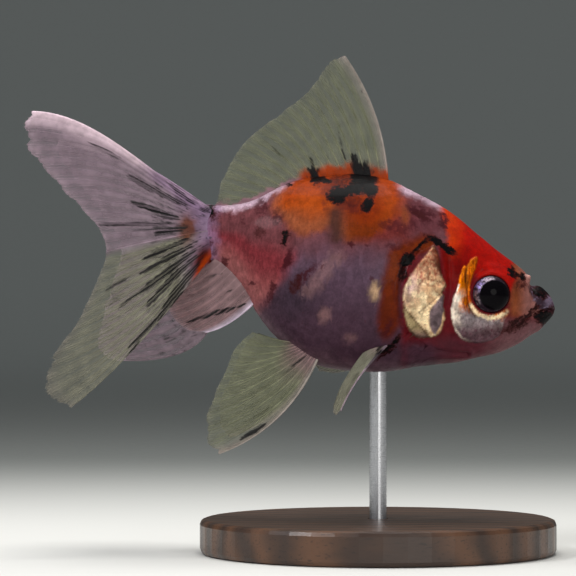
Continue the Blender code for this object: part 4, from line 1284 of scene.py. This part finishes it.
def geometry_nodes(name, gives, takes):
    """A new Geometry Nodes tree with named inputs, and the sockets that they arrive by."""
    n = Nodes(bpy.data.node_groups.new(name, "GeometryNodeTree"))
    for label, kind in takes.items():
        n.tree.interface.new_socket(label, in_out="INPUT", socket_type="NodeSocket" + kind)
    n.tree.interface.new_socket(gives, in_out="OUTPUT", socket_type="NodeSocketGeometry")
    return n, n.node("NodeGroupInput").outputs


def kept_on_points(n, name, kind="FLOAT"):
    return n.get("GeometryNodeInputNamedAttribute", {"Name": name}, data_type=kind)


def ray_tree():
    """Geometry Nodes: turns lines into round tapering rays."""
    n, given = geometry_nodes("fin_ray_tubes", "Rays", {
        "Lines": "Geometry", "Girth": "Float", "Sides": "Int", "Finish": "Material"})
    girth = n.times(kept_on_points(n, "girth"), given["Girth"])
    curve = n.get("GeometryNodeMeshToCurve", {"Mesh": given["Lines"]})
    sized = n.get("GeometryNodeSetCurveRadius", {"Curve": curve, "Radius": girth})
    circle = n.get("GeometryNodeCurvePrimitiveCircle", {"Resolution": given["Sides"],
                                                        "Radius": 1.0})
    tube = n.get("GeometryNodeCurveToMesh", {"Curve": sized, "Profile Curve": circle,
                                             "Scale": girth, "Fill Caps": True})
    smooth = n.get("GeometryNodeSetShadeSmooth", {"Geometry": tube})
    real = n.get("GeometryNodeRealizeInstances", {0: smooth})
    coat = n.get("GeometryNodeSetMaterial", {"Geometry": real, "Material": given["Finish"]})
    n.node("NodeGroupOutput", {"Rays": coat})
    return n.tree


def run_tree(made, tree, **inputs):
    """Gives a mesh a Geometry Nodes modifier and turns its result into the plain mesh."""
    modifier = made.modifiers.new(tree.name, "NODES")
    modifier.node_group = tree
    for item in tree.interface.items_tree:
        if item.item_type == "SOCKET" and item.in_out == "INPUT" and item.name in inputs:
            modifier[item.identifier] = inputs[item.name]
    graph = bpy.context.evaluated_depsgraph_get()
    result = bpy.data.meshes.new_from_object(made.evaluated_get(graph), depsgraph=graph)
    made.modifiers.remove(modifier)
    made.data = result
    return made


def fin_rays(name, fin, look, tree, finish):
    """The rays as tubes, coloured like the web but more solid."""
    lines = ray_lines(fin)
    across, along, girths = (np.concatenate(part) for part in zip(*lines))
    points = np.vstack([fin.point(*line[:2]) for line in lines])
    firsts = np.cumsum([0] + [len(line[0]) for line in lines])
    edges = [(k, k + 1) for first, after in zip(firsts, firsts[1:])
             for k in range(first, after - 1)]
    made = plain_object(name, points, [], edges)
    colour, veil, dark = look(points, across, along)
    keep_colours(made, "tint", colour * 1.12)
    for label, values in (
            ("girth", girths), ("veil", np.clip(veil * 1.5 + 0.12, 0, 0.96)),
            ("dark", dark * 0.6), ("place_across", across), ("place_along", along)):
        keep_numbers(made, label, values)
    run_tree(made, tree, Girth=MM, Sides=RAY_SIDES, Finish=finish)
    corners = corner_vertices(made)
    turn = 2 * math.pi * (np.arange(len(corners)) % 4) / 4
    keep_map(made, np.stack((
        0.03 + 0.94 * numbers(made, "place_across")[corners] + 0.001 * np.cos(turn),
        0.03 + 0.94 * np.clip(numbers(made, "place_along")[corners], 0, 1)
        + 0.001 * np.sin(turn)), axis=-1))
    return made


def streaks(points, across, rays, marks):
    """Dark streaks along the rays: each from one (x, z) to another, with a half width."""
    ragged = lumps(points, 0.9, 61, 4)
    comb = 0.5 + 0.5 * np.cos(2 * math.pi * (across * rays * 2 + 0.25 + 0.12 * ragged))
    dark = np.zeros(across.shape)
    for x1, z1, x2, z2, half_width, strength in marks:
        far, place = distance_to_line(((x1, z1), (x2, z2)), points[..., 0], points[..., 2])
        width = half_width * (1 - 0.5 * np.abs(2 * place - 1) ** 3) * (1 + 0.55 * ragged)
        share = ramp(width * 1.25, width * 0.55, far)
        dark = np.maximum(dark, share * strength * (0.5 + 0.5 * ramp(0.05, 0.4, comb)))
    return dark


def fin_look(rays, base, edge_colour, root_colour, veil_root, veil_edge, marks, lead, lead_veil,
             shift=(0.0, 0.0)):
    """A fin's colours: clear and pale, thicker towards the root and along its leading edge."""
    def look(points, across, along):
        wave = lumps(points, 4.0, 71, 3)
        front = np.clip(1 - across / lead, 0, 1) ** 0.8
        colour = lay(base, (root_colour, ramp(0.34, 0.0, along + 0.06 * wave)),
                     (edge_colour, np.clip(front + 0.25 * ramp(0.93, 1.0, along), 0, 1)))
        veil = veil_edge + (veil_root - veil_edge) * ramp(0.85, 0.05, along)
        veil = veil + (lead_veil - veil) * front
        band = 0.5 + 0.5 * np.cos(2 * math.pi * across * rays)
        veil = veil * (1 + 0.16 * wave) * (1 + (0.5 * band - 0.29) * ramp(0.0, 0.2, along))
        dark = streaks(points - (shift[0], 0.0, shift[1]), across, rays, marks)
        return np.clip(colour, 0, 1), np.clip(veil, 0.05, 0.97), np.clip(dark, 0, 1)
    return look


TAIL_UPPER_MARKS = (
    (-48.3, 57.0, -37.2, 57.2, 0.42, 0.95), (-42.6, 60.9, -37.0, 59.0, 0.5, 0.95),
    (-43.4, 65.6, -36.6, 61.8, 0.75, 0.6), (-50.0, 71.2, -44.9, 68.6, 0.45, 0.6),
    (-39.5, 59.6, -34.6, 58.2, 0.55, 0.9), (-38.6, 62.8, -33.2, 60.4, 0.6, 0.7),
    (-38.4, 55.4, -33.6, 56.6, 0.7, 0.85), (-43.0, 55.9, -36.0, 56.4, 0.35, 0.55),
    (-50.0, 63.6, -46.5, 62.8, 0.6, 0.22), (-36.4, 64.2, -32.0, 60.6, 0.4, 0.75),
    (-30.7, 59.5, -29.0, 59.6, 0.6, 0.9), (-31.0, 58.6, -30.2, 58.7, 0.4, 0.6),
)
TAIL_LOWER_MARKS = (
    (-40.6, 51.0, -33.0, 54.6, 0.5, 0.85), (-41.2, 48.4, -32.6, 53.4, 0.55, 0.95),
    (-41.0, 45.4, -32.2, 52.4, 0.6, 0.98), (-39.8, 43.2, -31.8, 51.6, 0.6, 0.98),
    (-37.6, 41.6, -31.4, 50.4, 0.75, 0.98), (-36.6, 40.4, -33.6, 45.4, 0.9, 0.95),
    (-42.8, 36.0, -36.4, 42.6, 0.42, 0.95), (-46.9, 45.6, -43.0, 48.0, 0.4, 0.6),
    (-46.8, 42.9, -43.6, 45.6, 0.55, 0.45), (-44.8, 42.6, -40.0, 46.4, 0.35, 0.7),
    (-43.4, 33.8, -40.8, 37.6, 0.35, 0.8),
)
ANAL_MARKS = (
    (-22.8, 43.4, -25.6, 42.4, 0.22, 0.9), (-25.6, 42.5, -31.0, 40.9, 0.5, 0.98),
    (-30.6, 41.1, -33.2, 40.2, 0.35, 0.9), (-24.8, 46.0, -26.8, 45.2, 0.2, 0.55),
    (-32.2, 45.0, -33.2, 44.6, 0.2, 0.5), (-30.5, 47.8, -27.0, 48.6, 0.28, 0.5),
)
DORSAL_MARKS = (
    (-6.9, 73.2, -5.7, 68.4, 0.26, 0.7), (-18.4, 70.8, -16.8, 68.9, 0.28, 0.5),
    (-8.9, 69.2, -8.5, 68.6, 0.22, 0.55), (-11.7, 68.7, -11.0, 66.0, 0.4, 0.8),
    (-2.9, 80.4, -2.7, 79.8, 0.22, 0.6), (-4.3, 69.3, -3.4, 66.0, 0.9, 1.0),
    (-2.6, 67.2, -1.6, 65.0, 1.1, 1.0), (-12.2, 66.8, -10.2, 65.0, 0.7, 0.95),
    (-11.5, 68.4, -11.1, 66.4, 0.3, 0.95), (-3.4, 67.2, -3.0, 65.0, 1.3, 1.0),
)
PELVIC_MARKS = (
    (-23.6, 20.4, -19.4, 22.8, 0.5, 0.8), (-14.9, 32.8, -12.6, 34.2, 0.26, 0.8),
    (-16.6, 31.0, -13.4, 33.4, 0.18, 0.6), (-18.0, 27.6, -14.0, 31.8, 0.15, 0.4),
)
PECTORAL_MARKS = (
    (-2.8, 31.6, 0.4, 35.6, 0.3, 0.8), (-0.5, 35.4, 2.6, 37.9, 0.4, 0.95),
    (-0.9, 34.4, 2.2, 36.4, 0.3, 0.95), (-5.8, 28.0, -3.6, 31.6, 0.35, 0.5),
)


# Each fin: name, sheet, side, number of rays, seed and what is its own about the sheet; then its
# colours on web, edge and root, its clouding at root and edge, its marks, how broad and how
# clouded its leading edge is, and how far its marks are moved.
FINS = (
    ("dorsal_fin", DORSAL, LEFT, 18, 3, {"frayed": 0.03, "start": -0.05},
     (FIN_GREEN_GREY, FIN_RIM, FIN_PALE, 0.5, 0.34, DORSAL_MARKS, 0.05, 0.6)),
    # the upper lobes' pale top edge is partly their own pale rim and partly a painted highlight of
    # the light from above
    ("caudal_fin_right_upper", CAUDAL_RIGHT_UPPER, RIGHT, 12, 4, {"start": -0.1, "flesh": 1},
     (FIN_MAUVE, FIN_EDGE_AND_HIGHLIGHT, FIN_LILAC, 0.86, 0.6, TAIL_UPPER_MARKS, 0.12, 0.95)),
    ("caudal_fin_right_lower", CAUDAL_RIGHT_LOWER, RIGHT, 13, 5, {"start": -0.1, "flesh": -1},
     (FIN_PALE, FIN_MAUVE, FIN_LILAC, 0.74, 0.36, TAIL_LOWER_MARKS, 0.04, 0.5)),
    ("caudal_fin_left_upper", CAUDAL_LEFT_UPPER, LEFT, 12, 6, {"start": -0.1, "flesh": 1},
     (FIN_MAUVE, FIN_EDGE_AND_HIGHLIGHT, FIN_LILAC, 0.84, 0.5, TAIL_UPPER_MARKS, 0.12, 0.95, (3.0, -1.6))),
    ("caudal_fin_left_lower", CAUDAL_LEFT_LOWER, LEFT, 13, 7, {"start": -0.1, "flesh": -1},
     (FIN_MAUVE, FIN_WHITE, FIN_LILAC, 0.84, 0.62, TAIL_LOWER_MARKS[:6], 0.06, 0.85, (1.0, 3.4))),
    ("anal_fin_right", ANAL, RIGHT, 8, 8, {"start": -0.14},
     (FIN_PINK, FIN_WHITE, FIN_PINK, 0.84, 0.66, ANAL_MARKS, 0.1, 0.95)),
    ("anal_fin_left", ANAL, LEFT, 8, 9, {"reach": 0.95, "start": -0.14},
     (FIN_PINK, FIN_WHITE, FIN_PINK, 0.84, 0.62, ANAL_MARKS[1:3], 0.1, 0.95, (-0.4, 3.0))),
    ("pelvic_fin_right", PELVIC, RIGHT, 10, 10, {"frayed": 0.03},
     (FIN_GREEN_GREY, FIN_RIM, FIN_PINK, 0.62, 0.36, PELVIC_MARKS, 0.07, 0.7)),
    ("pelvic_fin_left", PELVIC, LEFT, 10, 11, {"reach": 0.9, "frayed": 0.03},
     (FIN_GREEN_GREY, FIN_RIM, FIN_PINK, 0.62, 0.36, PELVIC_MARKS[:2], 0.07, 0.7, (1.6, 2.4))),
    ("pectoral_fin_right", PECTORAL_RIGHT, RIGHT, 11, 12, {"frayed": 0.03},
     (FIN_PALE, FIN_MAUVE, FIN_PINK, 0.6, 0.36, PECTORAL_MARKS, 0.08, 0.7)),
    ("pectoral_fin_left", PECTORAL_LEFT, LEFT, 11, 13, {"frayed": 0.03},
     (FIN_PALE, FIN_MAUVE, FIN_PINK, 0.6, 0.36, PECTORAL_MARKS[:2], 0.08, 0.7)),
)


def make_fins():
    tree = ray_tree()
    web_finish, ray_finish = fin_finish("fin_clear_web", True), fin_finish("fin_ray_horn", False)
    for name, rows, side, ray_count, seed, own, tones in FINS:
        fin, look = Fin(rows, side, ray_count, seed, **own), fin_look(ray_count, *tones)
        if name == "dorsal_fin":
            look = warm_root(look)
        elif name.startswith("caudal"):
            look = tail_root_tints(look)
        web = fin_web(name + "_web", fin, look)
        web.data.materials.append(web_finish)
        rays = fin_rays(name + "_rays", fin, look, tree, ray_finish)
        for piece in (web, rays):
            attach(piece, "root")
        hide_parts(name)


def warm_root(look):
    """The back's orange and the pale skin behind it run up into the foot of the dorsal fin."""
    def warmer(points, across, along):
        tint, veil, dark = look(points, across, along)
        x = points[..., 0]
        wave, ragged = lumps(points, 1.6, 81, 3), lumps(points, 0.7, 85, 3)
        over = points[..., 2] - back_and_belly(x)[0] + 0.8 * wave
        orange = ramp(-14.4, -12.6, x + 0.6 * wave) * ramp(2.2, 0.9, over)
        pale = ramp(1.0, 0.1, over)
        black = hump(x + 0.8 * ragged, -3.0, 1.7) * ramp(3.6, 1.2, over + 1.6 * ragged)
        black = black + hump(x + 0.8 * ragged, -11.2, 0.9) * ramp(2.6, 0.8, over + 1.2 * ragged)
        black = ramp(0.3, 0.62, black)
        tint = lay(tint, (FIN_ROOT_PINK, pale), (FIN_ORANGE, orange), (FIN_FOOT_BLACK, black))
        cover = np.maximum(np.maximum(orange, black), pale)
        return tint, np.clip(veil + 0.5 * cover, 0, 0.97), dark
    return warmer


def tail_root_tints(look):
    """Orange-brown and red patches at the foot of the tail, over its lilac root."""
    def tinted(points, across, along):
        tint, veil, dark = look(points, across, along)
        x, z = points[..., 0], points[..., 2]
        wave = lumps(points, 1.2, 82, 3)
        brown = hump(x + 0.5 * wave, -33.3, 1.3) * hump(z + 0.4 * wave, 56.3, 2.2)
        red = hump(x + 0.4 * wave, -30.9, 1.5) * hump(z - 0.5 * (x + 30.9), 50.6, 2.6)
        upper = z > 57.2
        band = ramp(0.22, 0.08, across) * ramp(-39.0, -43.0, x) * upper
        foot = ramp(-42.0, -38.0, x + wave)
        tint = lay(
            tint,
            (TAIL_BROWN, np.clip(brown * 1.6, 0, 1) * 0.9),
            (TAIL_RED, np.clip(red * 1.4, 0, 1)),
            (TAIL_ORANGE, np.clip(red * 1.5, 0, 1)
             * ramp(-31.4, -30.2, x + 0.5 * (50.6 - z)) * 0.85),
            # the pale leading band is partly the fin's own pale rim and partly a painted highlight
            (FIN_EDGE_AND_HIGHLIGHT, band * ramp(-56.0, -50.0, x) * 0.5),
            (FIN_LILAC, foot * ramp(0.3, 0.05, across) * upper * 0.85))
        specks = ramp(0.0, 0.2, lumps(points, 0.34, 83, 2)) * foot
        shade = hump(np.hypot((x + 37.0) / 3.4, (z - 57.6) / 2.6), 0.0, 0.7)
        for spots in (specks * np.clip(0.34 + 0.5 * wave, 0.1, 0.5),
                      shade * ramp(-0.1, 0.25, lumps(points, 0.6, 84, 3)) * 0.6):
            dark = np.maximum(dark, spots)
        solid = 0.5 * ramp(-35.5, -31.0, x + 0.8 * wave) + 0.2 * band
        return tint, np.clip(veil + solid, 0, 0.97), np.clip(dark, 0, 1)
    return tinted


# ---------------------------------------------------------------- scales

SCALE_FILES = 14           # from back to belly on each side, counting every other one in each row
ROW_PITCH = 0.72           # from one row to the next, whose scales lie between the last one's
SCALE_LENGTH = 3.5         # in millimetres
SCALE_WIDTH = 2.12         # in shares of the space between files
SCALE_LIFT, SCALE_THICK = 0.09, 0.05
PATCH = 0.003              # a scale's patch on the unwrap
COAT_REAR, COAT_FRONT = -29.2, 11.0
COAT_EDGE = (               # as (height, foremost x)
    (31.0, 12.0), (35.0, 8.0), (37.5, 3.8), (40.0, 1.8), (46.0, 1.2), (50.0, 2.2), (53.5, 5.2),
    (56.0, 8.8), (60.0, 10.4), (66.0, 10.8),
)


def scale_plate():
    """One closed scale, 1 long and 1 wide, with its rounded free end at -X."""
    long_steps, wide_steps = 5, 6
    points, lifts = [], []
    for level in (0.0, -SCALE_THICK / SCALE_LIFT):
        for i in range(long_steps + 1):
            s = (i / long_steps) ** 0.8
            for j in range(wide_steps + 1):
                t = 2 * j / wide_steps - 1
                half = 0.5 * (1 - 0.35 * (1 - s) ** 2)
                end = 1 - 0.42 * abs(t) ** 2.2
                points.append((0.5 - s * end, -t * half, 0.0))
                lifts.append(level - 0.4 + 1.4 * (s * end) ** 0.9)
    points = np.array(points)
    faces, rim = sheet_faces(long_steps + 1, wide_steps + 1, True)
    made = plain_object("scale_plate", points / MM, faces)
    around = {*rim, *(rim + len(points) // 2)}
    for side in made.data.edges:
        side.use_edge_sharp = set(side.vertices) <= around
    keep_numbers(made, "lift", lifts)
    keep_numbers(made, "patch_u", -points[:, 0])
    keep_numbers(made, "patch_v", points[:, 1])
    return made


def scale_roots(rings, normals, side):
    """Where one side's scales grow: rows of place, outward and headward directions, width and
    place on the unwrap. The right side has those on the middle lines of back and belly."""
    ring_x = rings[:, 0, 0]
    turn = np.arange(HALF_RING + 1) * (1 if side == LEFT else -1)
    half, outward = rings[:, turn], normals[:, turn]
    girth = np.linalg.norm(np.diff(half, axis=1), axis=-1).sum(axis=1)
    edge_height, edge_x = zip(*COAT_EDGE)
    found = []
    for row, x in enumerate(np.arange(COAT_REAR, COAT_FRONT, ROW_PITCH)):
        ring = np.interp(x, ring_x, np.arange(len(ring_x)))
        low, share = int(ring), ring % 1.0
        places, ups = (grid[low] * (1 - share) + grid[low + 1] * share
                       for grid in (half, outward))
        width = SCALE_WIDTH * np.interp(x, ring_x, girth) / SCALE_FILES
        u = 0.02 + 0.96 * ring / (len(ring_x) - 1)
        for file in range(row % 2, SCALE_FILES + 1, 2):
            down = file / SCALE_FILES * HALF_RING
            near = min(int(down), HALF_RING - 1)
            part = down - near
            spot, up = (line[near] * (1 - part) + line[near + 1] * part for line in (places, ups))
            on_middle = side == LEFT and file in (0, SCALE_FILES)
            if on_middle or np.interp(spot[2], edge_height, edge_x) < spot[0]:
                continue
            v = 0.51 + 0.47 * down / HALF_RING if side == LEFT else 0.49 - 0.47 * down / HALF_RING
            found.append((*spot, *up, *(half[low + 1, near] - half[low, near]), width, u, v))
    return np.array(found)


def scale_tree():
    """Geometry Nodes: sets a scale on every root and bends it to the skin."""
    n, given = geometry_nodes("scales_laid_on_skin", "Coat", {
        "Roots": "Geometry", "Scale": "Object", "Skin": "Object", "Length": "Float",
        "Unit": "Float", "Lift": "Float", "Finish": "Material"})
    scale, skin = (n.node("GeometryNodeObjectInfo", {"Object": given[label]}).outputs["Geometry"]
                   for label in ("Scale", "Skin"))
    turn = n.get("FunctionNodeAxesToRotation", {
        0: kept_on_points(n, "outward", "FLOAT_VECTOR"),
        1: kept_on_points(n, "headward", "FLOAT_VECTOR")}, primary_axis="Z", secondary_axis="X")
    size = n.get("ShaderNodeCombineXYZ", {
        "X": given["Length"], "Y": n.times(kept_on_points(n, "width"), given["Unit"]), "Z": 1.0})
    set_on = n.get("GeometryNodeInstanceOnPoints", {
        "Points": given["Roots"], "Instance": scale, "Rotation": turn, "Scale": size})
    real = n.get("GeometryNodeRealizeInstances", {0: set_on})
    near, lie = (n.get("GeometryNodeSampleNearestSurface", {"Mesh": skin, "Value": n.get(kind)},
                       data_type="FLOAT_VECTOR")
                 for kind in ("GeometryNodeInputPosition", "GeometryNodeInputNormal"))
    rise = n.get("ShaderNodeVectorMath", {
        0: lie, 1: n.times(kept_on_points(n, "lift"), given["Lift"]), 2: near},
        operation="MULTIPLY_ADD")
    place = n.get("GeometryNodeSetPosition", {"Geometry": real, "Position": rise})
    coat = n.get("GeometryNodeSetMaterial", {"Geometry": place, "Material": given["Finish"]})
    n.node("NodeGroupOutput", {"Coat": coat})
    return n.tree


def make_scales(skin, rings, normals):
    plate, tree = scale_plate(), scale_tree()
    finish = skin_finish("goldfish_scales_pearly", True)
    tones = np.random.default_rng(17)
    for side, word in ((RIGHT, "right"), (LEFT, "left")):
        roots = scale_roots(rings, normals, side)
        made = plain_object("scales_" + word, roots[:, :3], [])
        for label, columns in (("outward", roots[:, 3:6]), ("headward", roots[:, 6:9])):
            made.data.attributes.new(label, "FLOAT_VECTOR", "POINT").data.foreach_set(
                "vector", columns.astype(np.float32).ravel())
        for label, column in (("width", 9), ("root_u", 10), ("root_v", 11)):
            keep_numbers(made, label, roots[:, column])
        keep_numbers(made, "tone", tones.uniform(-1.0, 1.0, len(roots)))
        run_tree(made, tree, Scale=plate, Skin=skin, Length=SCALE_LENGTH * MM, Unit=MM,
                 Lift=SCALE_LIFT * MM, Finish=finish)
        free = np.clip(numbers(made, "lift"), 0, 1)
        tint, gleam = paint(points_of(made).astype(float))
        # each scale is painted lighter along its raised free edge and a little darker over the
        # rest: a painted highlight on the edge
        tint = tint * (1 + 0.04 * numbers(made, "tone") + 0.1 * (ramp(0.6, 1.0, free) - 0.4)
                       )[:, None]
        keep_colours(made, "tint", np.clip(tint, 0, 1))
        keep_numbers(made, "gleam", gleam)
        keep_map(made, np.stack([
            (numbers(made, "root_" + way) + PATCH * numbers(made, "patch_" + way))[
                corner_vertices(made)] for way in "uv"], axis=-1))
        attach(made, "root")
    bpy.data.objects.remove(plate)


# ---------------------------------------------------------------- assembly

make_camera()
make_stage()
skin, skin_points, skin_rings, skin_normals = make_skin()
tint, gleam = paint(skin_points)
keep_colours(skin, "tint", tint)
keep_numbers(skin, "gleam", gleam)
skin.data.materials.append(skin_finish("goldfish_skin_pearly", False))
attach(skin, "root")
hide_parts("head", "lower_jaw", "trunk", "tail_stem", "gill_cover_right", "gill_cover_left")

iris = eye_finish()
for side, word in ((RIGHT, "right"), (LEFT, "left")):
    make_eye(side, word, iris)

make_fins()
make_scales(skin, skin_rings, skin_normals)
for node, finish in (("stand_base", walnut_finish()), ("stand_rod", steel_finish())):
    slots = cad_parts[node].material_slots
    for slot in slots:
        slot.material = finish
